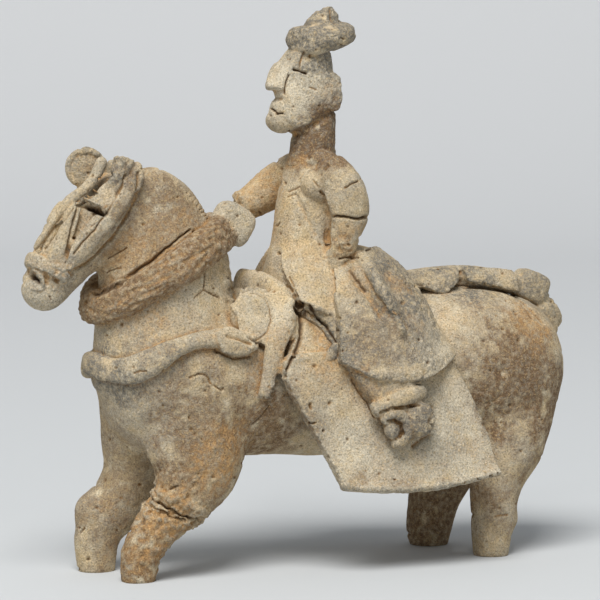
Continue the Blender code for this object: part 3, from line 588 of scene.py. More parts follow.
# The coat and legs: on each side a small slab over the lap and a wide slab for the skirt, laid
# over a leg that ends in a rolled cuff and a curled foot.
SKIRT_THICKNESS = 4.0
LAP_THICKNESS = 3.2
rider_parts["coat"] = []
rider_parts["legs"] = []
for side in (-1, 1):
    rider_parts["coat"] += [
        sheet([
            [(-6.6, 2, 87), (-3, 8, 87), (3, 10, 87)],
            [(-9.6, 7, 79.4), (-5.6, 12.4, 78), (1.5, 14, 77.5)],
            [(-9.2, 15, 72), (-5.4, 17.2, 69.8), (-0.6, 18, 67.8)],
        ], LAP_THICKNESS, side=side),
        sheet([
            [(2.8, 12, 81.6), (8, 13.2, 84), (15, 10, 84.4), (20, 4.6, 82.6)],
            [(0.4, 18, 73.8), (9.4, 20.6, 75), (18.4, 17.6, 75.6), (25.6, 9.8, 76)],
            [(-0.6, 22, 65.4), (11, 25, 65), (22.4, 22.4, 64.6), (30.8, 14.6, 64.4)],
            [(-1.4, 24, 56.6), (8.6, 28, 51.6), (23, 27, 51.4), (35.2, 19, 55.8)],
        ], SKIRT_THICKNESS, side=side),
        roll([
            (9, 16, 83, 2.2, 2.2), (12.4, 22.8, 73.5, 2.4, 2.4), (18.4, 25, 65, 1.4, 1.4),
        ], ends=(1.5, 2), side=side),
        lump((-2.6, 21.4, 58.4), (2.6, 1.2, 1.7), turn=(0, -50, 0), side=side),
    ]
    rider_parts["legs"] += [
        roll([
            (-5, 13.4, 72, 3, 5.2), (3.8, 18.8, 63, 3.4, 5.8), (8.2, 23.4, 54.6, 3.6, 6.2),
            (13, 26.4, 47.6, 3.7, 6.3), (14.8, 27.2, 42, 3.2, 5),
        ], facing=Vector((-1, 0, -0.5)), ends=(2, 2), square=3.4, side=side),
        roll([
            (6.8, 28.2, 43.8, 2.2, 2.2), (9.8, 29.2, 45.2, 2.4, 2.4), (13.1, 29.6, 46.4, 2.4, 2.4),
            (17, 29.2, 47.2, 2.4, 2.4), (20.6, 27.4, 47.8, 2.1, 2.1),
        ], ends=(1.2, 1.4), side=side),
        lump((19.2, 29.6, 40.6), (4.6, 4, 5), side=side),
        lump((17.2, 27.2, 38.4), (3.2, 2.2, 3.2), side=side),
        lump((13.6, 28.4, 39.6), (4.2, 2.6, 4.4), side=side),
        roll([
            (9, 29.4, 41, 1.4, 1.4), (10.6, 30.2, 42.6, 1.6, 1.6), (13, 30.4, 42.4, 1.8, 1.8),
            (15.2, 30.4, 40, 1.9, 1.9), (15.2, 30.4, 37, 1.8, 1.8), (13.4, 30, 35, 1.5, 1.5),
            (11.8, 29.6, 34.8, 1.2, 1.2),
        ], facing=SIDEWAYS, ends=(0.8, 0.8), side=side),
        lump((11.2, 29.6, 38.4), (2.1, 1.8, 2.4), side=side),
    ]


# The marks of making and of age: slits cut with a stick, drying cracks, torn edges and pits. They go into
# the pressed skin as real depth before it is thinned, and the cuts and pits also get shade painted into
# them. Most were noted from the near side, so their lines are laid on the figure along the line of sight.
# Lengths are in grid steps.
TOWARD_VIEWER = Vector((-0.4367, -0.8954, 0.0872))
VIEW_RIGHT = Vector((0.8988, -0.4384, 0))
SKIN_RUBS = 2
NOISE_CELLS = 32
SIGHT_START = 40
LOOSE_FIT = 6
DEPTH_SHARE = 0.2
FINE_HOLLOWS = 0.8
WANDER_SIZE = 1.3
WANDER = 0.2
CRUMBS = ((1.5, 31, 1), (0.7, 32, 0.7))
PIT_RADII = (0.3, 0.65)
PIT_DEPTH = 1.1
PIT_SHADE = 0.7
STAIN_BODY = 0.85
STAIN_RAG = ((3.6, 41, 0.8), (1.4, 42, 0.6))


def lumpy(places, size, seed):
    """Smooth random values from -1 to 1 in lumps of one size."""
    table = np.random.RandomState(seed).uniform(-1, 1, (NOISE_CELLS, NOISE_CELLS, NOISE_CELLS))
    spot = places / size
    corner = np.floor(spot).astype(int)
    share = spot - corner
    share = share * share * (3 - 2 * share)
    total = np.zeros(len(places))
    for corner_x in (0, 1):
        for corner_y in (0, 1):
            for corner_z in (0, 1):
                pick = (corner + (corner_x, corner_y, corner_z)) % NOISE_CELLS
                weight = np.abs(1 - corner_x - share[:, 0])
                weight = weight * np.abs(1 - corner_y - share[:, 1]) * np.abs(1 - corner_z - share[:, 2])
                total += weight * table[pick[:, 0], pick[:, 1], pick[:, 2]]
    return total


def fibrous(places, run, long, short, seed):
    """Smooth random streaks that lie along one direction, long and short steps in size."""
    along = places @ run
    return lumpy(places + np.outer(along * (short / long - 1), run), short, seed)


def from_line(places, line):
    """Distance of each place to a line, and how far along the line it lies, from 0 to 1."""
    best = np.full(len(places), 1e9)
    along = np.zeros(len(places))
    line = np.array(line, float)
    for k in range(len(line) - 1):
        start, run = line[k], line[k + 1] - line[k]
        t = np.clip((places - start) @ run / max(run @ run, 1e-9), 0, 1)
        away = np.linalg.norm(places - start - t[:, None] * run, axis=1)
        closer = away < best
        best[closer] = away[closer]
        along[closer] = (k + t[closer]) / (len(line) - 1)
    return best, along


def gathered(pieces):
    """The laid up shapes of some pieces as one search tree, with the part each face is of."""
    points, faces, owners = [], [], []
    for parts in pieces:
        for name, shapes in parts.items():
            for shape in shapes:
                start = len(points)
                points += [v.co for v in shape.vertices]
                faces += [tuple(start + k for k in f.vertices) for f in shape.polygons]
                owners += [name] * len(shape.polygons)
    return BVHTree.FromPolygons(points, faces), owners


whole, _ = gathered([head_parts, horse_parts, gear_parts, rider_parts, rider_head_parts])


def snapped(line):
    """The line moved along the line of sight on to the figure, or to the nearest skin."""
    moved = []
    for point in line:
        hit = whole.ray_cast(Vector(point) + TOWARD_VIEWER * SIGHT_START, -TOWARD_VIEWER)[0]
        if hit is None or (hit - Vector(point)).length > LOOSE_FIT:
            hit = whole.find_nearest(Vector(point))[0]
        moved.append(hit)
    return moved


def flattened(places):
    """The places with most of their depth from the viewer pressed out."""
    places = np.array(places)
    view = np.array(TOWARD_VIEWER)
    return places - np.outer(places @ view, view) * (1 - DEPTH_SHARE)


class Skin:
    """The pressed skin of one piece: where its points are, its marks, and the shade painted into them."""

    def __init__(self, parts, grain):
        self.grain = grain
        self.parts = parts
        self.mesh = press([shape for shapes in parts.values() for shape in shapes], grain, SKIN_RUBS)
        count = len(self.mesh.vertices)
        flat = np.empty(count * 3)
        self.mesh.vertices.foreach_get("co", flat)
        self.places = flat.reshape(-1, 3)
        ends = np.empty(len(self.mesh.edges) * 2, np.int32)
        self.mesh.edges.foreach_get("vertices", ends)
        self.ends = ends.reshape(-1, 2)
        self.linked = np.bincount(ends, minlength=count)
        self.marks = np.zeros(count)
        self.painted_shade = np.zeros(count)

    def outward(self):
        """The direction straight out of the clay at every point."""
        flat = np.empty(len(self.places) * 3)
        self.mesh.vertex_normals.foreach_get("vector", flat)
        return flat.reshape(-1, 3)

    def of_part(self, name):
        """1 on the named part and 0 elsewhere, blurred a little where they meet."""
        if name not in self.parts:
            return np.zeros(len(self.places))
        tree, owners = gathered([self.parts])
        nearest = np.array([owners[tree.find_nearest(p)[2]] for p in self.places])
        return self.blurred((nearest == name).astype(float), FINE_HOLLOWS)

    def blurred(self, values, reach):
        """The values rubbed out over about the reach."""
        a, b = self.ends.T
        count = len(values)
        for _ in range(round((reach / self.grain) ** 2)):
            around = (np.bincount(a, values[b], count) + np.bincount(b, values[a], count)) / self.linked
            values = 0.5 * values + 0.5 * around
        return values

    def move(self, amount):
        """Push every point outward by its amount."""
        self.places = self.places + self.outward() * amount[:, None]
        self.mesh.vertices.foreach_set("co", self.places.ravel())
        self.mesh.update()

    def around(self, line, reach):
        """The points within reach of a line, their distance to it and how far along it they lie."""
        low = np.min(line, axis=0) - reach - 1
        high = np.max(line, axis=0) + reach + 1
        near = np.flatnonzero(np.all((self.places > low) & (self.places < high), axis=1))
        places = self.places[near]
        wander = np.stack([lumpy(places, WANDER_SIZE, 3 + k) for k in range(3)], axis=1) * WANDER
        return (near,) + from_line(flattened(places + wander), flattened(line))

    def cut(self, line, width, depth, painted_shade):
        """A groove along a line, its width given at both ends, with shade painted into it. A depth below 0
        leaves a ridge.
        """
        near, away, along = self.around(snapped(line), 3 * max(width))
        share = np.exp(-2 * (away / np.interp(along, (0, 1), width)) ** 2)
        self.marks[near] -= depth * share
        self.painted_shade[near] = np.maximum(self.painted_shade[near], painted_shade * share)

    def tear(self, line, reach, height):
        """Torn, crumbly clay along a line."""
        near, away, _ = self.around(snapped(line), 2.5 * reach)
        crumbs = sum(share * lumpy(self.places[near], size, seed) for size, seed, share in CRUMBS)
        self.marks[near] += height * crumbs * np.exp(-(away / reach) ** 2)

    def notch(self, line, reach, depth, count):
        """A row of nicks across a crest."""
        near, away, along = self.around(line, 2.5 * reach)
        nick = np.clip(np.sin(along * count * 2 * math.pi), 0, 1)
        self.marks[near] -= depth * nick * np.exp(-(away / reach) ** 2)

    def pit(self, count, seed):
        """Small holes where grit and straw fell out, with shade painted into them."""
        chance = np.random.RandomState(seed)
        for k in chance.choice(len(self.places), count):
            radius = chance.uniform(*PIT_RADII)
            near, away, _ = self.around([self.places[k], self.places[k]], 2 * radius)
            share = np.exp(-1.5 * (away / radius) ** 2)
            self.marks[near] -= radius * PIT_DEPTH * share
            self.painted_shade[near] = np.maximum(self.painted_shade[near], PIT_SHADE * share)

    def stain(self, blots, name):
        """How much one stain covers each point, from its blots, with ragged edges."""
        total = np.zeros(len(self.places))
        ragged = STAIN_BODY + sum(share * lumpy(self.places, size, seed) for size, seed, share in STAIN_RAG)
        for centre, reach, strength in blots.get(name, ()):
            away = np.linalg.norm(self.places - centre, axis=1)
            total = np.maximum(total, strength * np.clip(2 * np.exp(-(away / reach) ** 2) * ragged, 0, 1))
        return total


def hollows(skin, reach):
    """How deep each point lies below the skin rubbed smooth, in steps. Raised points are below 0."""
    rubbed = np.stack([skin.blurred(skin.places[:, k], reach) for k in range(3)], axis=1)
    return np.sum((rubbed - skin.places) * skin.outward(), axis=1)


def ringed_round(centre, across, high):
    """The right hand part of an oval line as the viewer sees it."""
    turns = [math.radians(degrees) for degrees in range(-84, 112, 14)]
    return [Vector(centre) + VIEW_RIGHT * across * math.cos(a) + UP * high * math.sin(a) for a in turns]


# Cuts are lines with their width at both ends, their depth and how much shade is painted into them. Tears
# are lines with a reach and a height, notches lines with a reach, a depth and a number of nicks.
# Blots are round stains by kind, with a middle, a reach and a strength. Rough ones are crumbly.
head_marks = {
    "cuts": [
        ([(-68.2, -6, 99), (-64.7, -7, 97.7), (-61.3, -8, 96.4)], (0.55, 0.95), 2.6, 1.5),
        ([(-67.8, -5.6, 98.5), (-68.8, -6, 96), (-70.2, -6.5, 92.4), (-71.2, -7.1, 88.6),
          (-72.5, -7.4, 84.2)], (0.5, 0.6), 1.2, 0.6),
        ([(-60.4, -7, 107), (-62, -5.4, 103.6), (-64.4, -5.4, 101),
          (-67, -5.2, 99.6)], (0.8, 0.6), 1.3, 0.6),
        ([(-69.2, -4.8, 98), (-71.3, -4.2, 95.2), (-72.8, -3.4, 92.6), (-74.4, -2.8, 90),
          (-76.2, -2.2, 87.6)], (0.5, 0.4), 1.0, 0.5),
        ([(-55.9, -8.7, 106.4), (-57.6, -9.3, 103), (-60.6, -9.9, 99), (-62.4, -10.2, 96),
          (-65, -9.6, 92.4), (-68, -8.9, 89.4), (-70.2, -8.2, 86.4)], (0.45, 0.4), 0.9, 0.35),
        ([(-52.4, -9.1, 107), (-53.2, -10.2, 102.1), (-55, -7, 95.4), (-58.5, -6.3, 90.2),
          (-62.2, -5.8, 86.4), (-65.7, -5.4, 83.4), (-71.3, -7.3, 81.6)], (0.6, 0.5), 1.0, 0.3),
        ([(-80.4, -2.4, 80.9), (-79.6, -3.6, 80.1), (-78.9, -4.8, 79)], (1.15, 1.15), 2.6, 1.5),
        ([(-80, -3, 82), (-78.2, -4.6, 81.8), (-77.4, -5.4, 79.6), (-78, -5.4, 77.4), (-80, -3.6, 77.2)],
         (0.6, 0.6), -0.6, 0),
        ([(-77.2, -5, 80.4), (-76.6, -5, 78.8)], (0.9, 0.8), 0.9, 0.2),
        ([(-74.2, -6.4, 79.2), (-77, -5.8, 81), (-78.8, -3, 82.2)], (0.5, 0.5), 0.8, 0.4),
        ([(-66, -9, 95.2), (-65, -9.6, 94), (-66, -9.4, 93.4)], (0.3, 0.3), 0.5, 0.5),
        ([(-68.4, -8, 95), (-66.6, -8.8, 93.6)], (0.3, 0.3), -0.4, 0),
        ([(-69, -8, 92.6), (-67.4, -8.4, 91.4)], (0.3, 0.3), -0.4, 0),
        ([(-62.9, -2.3, 75.7), (-60.8, -6, 77.2), (-58, -9.4, 78.7), (-53.9, -9.8, 81.2),
          (-49.8, -10.1, 83.7), (-45.7, -10.5, 86.7), (-41.2, -10.1, 89.7),
          (-37.9, -9.1, 91.6)], (0.9, 0.35), 1.1, 0.85),
        ([(-59.6, -6, 84.6), (-57.4, -7, 86), (-55.4, -7.4, 87.4)], (0.3, 0.3), 0.6, 0.6),
        ([(-60, -5.6, 81), (-58, -6.6, 82), (-56.6, -7, 82.2)], (0.3, 0.3), 0.5, 0.5),
    ],
    "tears": [
        ([(-68, -6.4, 100), (-64.2, -7.6, 98.6), (-61.4, -8, 97.4), (-58.8, -8.4, 99)], 1.0, 0.4),
        ([(-57.6, -8, 111), (-54.4, -8, 110)], 1.6, 0.5),
        ([(-74, -6.6, 82), (-71, -7, 81.4), (-69.6, -6, 82)], 1.6, 0.7),
        ([(-78, -5.4, 77.6), (-75.4, -5.6, 77.4)], 1.6, 0.4),
        ([(-64.6, 2, 111), (-61.6, 3, 113), (-58.4, 6, 112)], 1.2, 0.35),
    ],
    "notches": [([(-50, -1, 106), (-44, -1, 104.6), (-37.4, -1, 101), (-31.6, -1, 96.2),
        (-28, -1, 92)], 1.4, 0.4, 20)],
    "blots": {
        "film": [((-74, -5, 82), 11, 0.3), ((-60, -9, 98), 11, 0.3), ((-57, -7, 106), 4, 0.9),
            ((-46, -9, 98), 9, 0.4), ((-62, 3, 110), 5, 0.4)],
        "pale": [((-76, -5, 78), 9, 0.7), ((-58, -9, 100), 9, 0.5)],
        "brown": [((-46, -9, 92), 17, 0.8), ((-60, -6, 78), 9, 0.5)],
        "earth": [((-62, -1, 108), 5, 0.5), ((-55, -8, 84), 8, 0.6), ((-44, -10, 92), 9, 0.5),
            ((-77, -4, 82), 5, 0.4), ((-66, -8, 94), 6, 0.35)],
        "rough": [((-44, -9, 88), 8, 0.3)],
    },
}
horse_marks = {
    "cuts": [
        ([(-62.9, -4, 75.2), (-60.8, -7.6, 76.6), (-58, -10, 78)], (1.2, 0.7), 1.2, 0.8),
        ([(-35.6, -14.3, 83.7), (-34.3, -10.6, 79.8), (-34.7, -11.5, 75.9), (-32.4, -11, 74.7),
          (-29.6, -9.9, 73.7)], (0.3, 0.35), 0.7, 0.7),
        ([(-34.7, -11.5, 75.9), (-36.4, -12, 75), (-38, -12.5, 74)], (0.3, 0.3), 0.5, 0.5),
        ([(-31.3, -12.3, 87.7), (-26, -4, 84.2), (-25.1, -4.1, 80.7), (-25.8, -6.1, 76.4),
          (-25.5, -7.4, 72.5), (-26.8, -13.6, 69.9)], (0.8, 0.8), -0.7, 0),
        (ringed_round((-22.7, -15.8, 68.7), 4.5, 6.3), (0.3, 0.3), 0.45, 0.35),
        ([(-24.4, -18.6, 63.2), (-22.6, -18.5, 61.9), (-20.2, -15.8, 60.9)], (0.6, 0.7), 0.8, 0.7),
        ([(-8.9, -9, 78.2), (-9.4, -12.5, 76.1), (-9.6, -14.8, 73.7),
          (-9.5, -15.8, 72.1)], (0.3, 0.5), 0.8, 0.4),
        ([(-9.4, -15.5, 71.6), (-8.8, -16, 69), (-9.4, -17.5, 66), (-10.2, -18.9, 63),
          (-11.6, -19.5, 60.4), (-13.8, -20, 57), (-15, -19, 53)], (1.1, 0.6), 1.2, 0.95),
        ([(-8.8, -15.6, 71), (-6.4, -17, 67.6), (-5, -19, 63)], (2.6, 2.2), 0.8, 0.25),
        ([(-7, -17.1, 71), (-3.8, -18.8, 66.2), (-0.7, -20.4, 61.5)], (0.8, 0.5), 1.0, 1.0),
        ([(-35, -18.4, 60.6), (-30, -18.8, 58.4), (-25, -18.8, 58.6)], (0.5, 0.5), 0.9, 0.55),
        ([(-30.6, -17, 64), (-27.4, -18, 63), (-24.4, -18, 61.8)], (0.7, 0.5), 0.8, 0.25),
        ([(-56.3, -14.6, 55.3), (-55.1, -15.6, 55.9), (-53.8, -16.6, 55.9)], (0.3, 0.3), 0.6, 0.6),
        ([(-41.7, -17.4, 53.6), (-39.5, -17.5, 54.6), (-37.5, -17.6, 54.2), (-35.6, -17.8, 51.8),
          (-32.7, -17.7, 49.8)], (0.4, 0.35), 0.7, 0.35),
        ([(-46.1, -6, 21.2), (-49.9, -10.6, 21.5), (-49.1, -13.8, 20.8), (-47.5, -15.5, 19.8),
          (-45.9, -16.4, 18.8), (-44.1, -16.7, 17.7), (-41.4, -16.4, 16.7),
          (-38.5, -15.1, 15.8)], (0.35, 0.5), 1.2, 1.0),
        ([(-49.6, -12, 19.4), (-47.4, -15, 18.2), (-45.2, -16.2, 16.9),
          (-42.6, -16.2, 15.8)], (0.35, 0.35), 0.8, 0.9),
        ([(-49.6, -10.6, 23.4), (-48, -14.6, 22.6), (-44, -17, 20.8),
          (-39, -16.8, 18.4)], (1.5, 1.3), -0.9, 0),
        ([(-46.6, -15.4, 24.6), (-44.8, -16.4, 25.2)], (0.5, 0.5), 0.7, 0.9),
        ([(-18.2, -16, 45), (-20.4, -17, 42.6), (-24, -18, 40.4)], (0.3, 0.3), 0.6, 0.8),
        ([(-10.5, -23.5, 40.8), (-10.2, -24.9, 40.7), (-9, -25, 41)], (0.45, 0.3), 1.0, 0.9),
        ([(-9.9, -24, 45.9), (-9.7, -24, 44.8)], (0.7, 0.6), 0.9, 0.7),
        ([(-6.8, -25.5, 38.7), (-6.8, -25.5, 38.6)], (0.5, 0.5), 0.9, 1.0),
        ([(-15.4, -22, 56.6), (-13, -21.8, 57.6), (-9.6, -21.4, 57.6)], (0.8, 0.8), -0.4, 0),
        ([(-2, -28.6, 24), (14, -29.4, 22), (30, -29.4, 22.6), (45, -28.4, 24.6)], (1.8, 1.8), -0.6, 0),
        ([(2.2, -24, 51.6), (4.4, -24.6, 48), (6.4, -25, 45),
          (8.2, -25.6, 41.6)], (0.45, 0.45), 0.5, 0.75),
        ([(46, -3.4, 77.4), (46, -3.8, 76), (45.8, -3.8, 74.4)], (0.5, 0.8), 0.8, 0.7),
        ([(31, -5, 74.6), (33.4, -5, 74)], (0.6, 0.6), 0.6, 0.7),
        ([(45.8, -5.6, 73), (49.4, -4.8, 73), (54.4, -4.8, 72.4), (62, -5, 70.4)], (0.5, 0.5), 0.4, 0.6),
        ([(60.4, -6.6, 71), (64.6, -8, 67.4), (68.6, -9, 62.6)], (0.5, 0.5), 0.7, 0.3),
        ([(62.1, -9.2, 68), (62.8, -11.2, 66.2), (63.2, -12.8, 64.6)], (0.4, 0.4), 0.5, 0.5),
        ([(45.4, -18.5, 42.4), (48.3, -19, 43.4), (49.6, -19.3, 44.5)], (0.3, 0.3), 0.4, 0.1),
        ([(50.8, -18.4, 51), (51.8, -18.6, 50.2)], (1.8, 1.8), 0.6, 0),
        ([(46.6, -19.6, 51.6), (46.6, -19.6, 51.5)], (0.5, 0.5), 0.8, 0.9),
        ([(49, -18, 11.2), (50.3, -18.5, 11.4), (52.6, -18.8, 11.6)], (0.3, 0.4), 0.5, 0.3),
        ([(-66, 5, 12), (-64, 5, 11)], (0.4, 0.4), 0.6, 0.8),
    ],
    "tears": [
        ([(-10.1, -8.8, 78.2), (-10.6, -14.8, 73.7), (-11, -17.2, 69.6), (-13.1, -19.3, 65.1),
          (-15, -20.2, 59.5), (-16.8, -21.5, 56.2)], 1.2, 0.4),
        ([(-18, -18, 51), (-20.4, -18, 48.4), (-22, -18, 47)], 1.6, 0.5),
        ([(-25.6, -4, 84.2), (-25.2, -4.1, 80.7), (-25.4, -6.1, 76.4), (-25.5, -8, 71)], 1.5, 0.5),
        ([(34, -4.5, 72.6), (40.6, -3.9, 73), (45.8, -5.2, 72.8), (51, -3.6, 74.6),
          (61.7, -3.2, 72)], 1, 0.35),
        ([(-24.4, -18.4, 64), (-22.8, -18.2, 61.4), (-26.4, -18.6, 59.6)], 1.2, 0.4),
        ([(-50.6, -9, 22), (-49.1, -13.8, 19.6), (-44.1, -16.7, 17.7), (-39, -15.1, 16)], 4, 1.0),
        ([(-2.8, -28.5, 25), (12, -29, 22), (30, -29, 22.4), (45, -28, 24.6)], 1.2, 0.25),
        ([(-16.5, -21.5, 52.7), (-12.9, -23.8, 45.7), (-8.2, -25.4, 36.3),
          (-2.8, -27.8, 25.7)], 1.2, 0.3),
    ],
    "notches": [],
    "blots": {
        "film": [((-50, -16, 58), 8, 0.6), ((-62, -8, 54), 9, 0.9), ((-40, -18, 63), 9, 0.3),
            ((54, -18, 48), 15, 0.5), ((46, -4, 76), 10, 0.7), ((30, -5, 76), 8, 0.6),
            ((14, -28, 42), 13, 0.35), ((-6, -24, 42), 12, 0.25), ((-21, -8, 75), 4, 0.7),
            ((22, -28, 32), 14, 0.3), ((70, -6, 70), 9, 0.6), ((-22, -4, 92), 7, 0.2),
            ((-60, 6, 14), 9, 0.4), ((-44, -17, 44), 14, 0.35), ((30, -28, 38), 8, 0.2)],
        "pale": [((8, -28, 28), 15, 0.9), ((34, -26, 30), 14, 1.1), ((-18, -18, 52), 7, 0.7),
            ((-22, -16, 68), 7, 0.4), ((-22, -4, 92), 7, 0.6), ((-44, -15, 70), 9, 0.4),
            ((40, -14, 66), 10, 0.3), ((-56, -12, 44), 11, 0.8)],
        "brown": [((-40, -18, 42), 13, 0.85), ((-38, -17, 32), 10, 0.8), ((-44, -17, 28), 10, 1.0),
            ((55, -18, 52), 13, 1.3), ((68, -12, 38), 12, 1.4), ((46, -18, 40), 8, 1.5),
            # The brown blot at (48, 16, 20) over the far hind leg is partly painted shade, as that leg
            # stands in the horse's shadow.
            ((-53, -12, 6), 15, 1.3), ((-34, -12, 24), 9, 0.9), ((48, 16, 20), 26, 1.6),
            # The brown blot at (-2, -16, 66) is painted shade in the recess between the saddle arch and the
            # rider's leg.
            ((-2, -16, 66), 6, 0.5), ((-21, -14, 38), 12, 1.4), ((-58, 6, 28), 17, 0.65),
            ((-18, -14, 34), 9, 0.4), ((52, -17, 26), 12, 0.3), ((0, -28.6, 24), 4, 0.7),
            ((14, -29, 22), 4, 0.6), ((28, -29, 22.4), 4, 0.4)],
        # The earth blot at (-3, -18, 60) is painted shade in the recess between the saddle arch and the
        # rider's leg.
        "earth": [((-32, -17, 32), 8, 0.95), ((62, -11, 62), 7, 1.0), ((-3, -18, 60), 9, 0.8),
            ((-49, -14, 19), 7, 1.0), ((-52, -14, 8), 12, 0.55), ((-57, 5, 12), 8, 0.6),
            ((-36, -14, 64), 8, 0.4), ((40, -20, 30), 9, 0.3), ((-54, -14, 64), 8, 0.6),
            ((8, -24, 50), 7, 0.7), ((36, -12, 66), 9, 0.4), ((-15, -18, 60), 5, 0.5),
            ((12, -28, 26), 14, 0.3), ((-40, -14, 84), 9, 0.3), ((-25, -12, 56), 8, 0.4)],
        "rough": [((-50, -14, 16), 13, 1.8), ((-36, -16, 30), 8, 0.6), ((54, -18, 46), 14, 0.35),
            ((-44, -17, 42), 12, 0.35), ((-53, -12, 5), 10, 0.6)],
    },
}
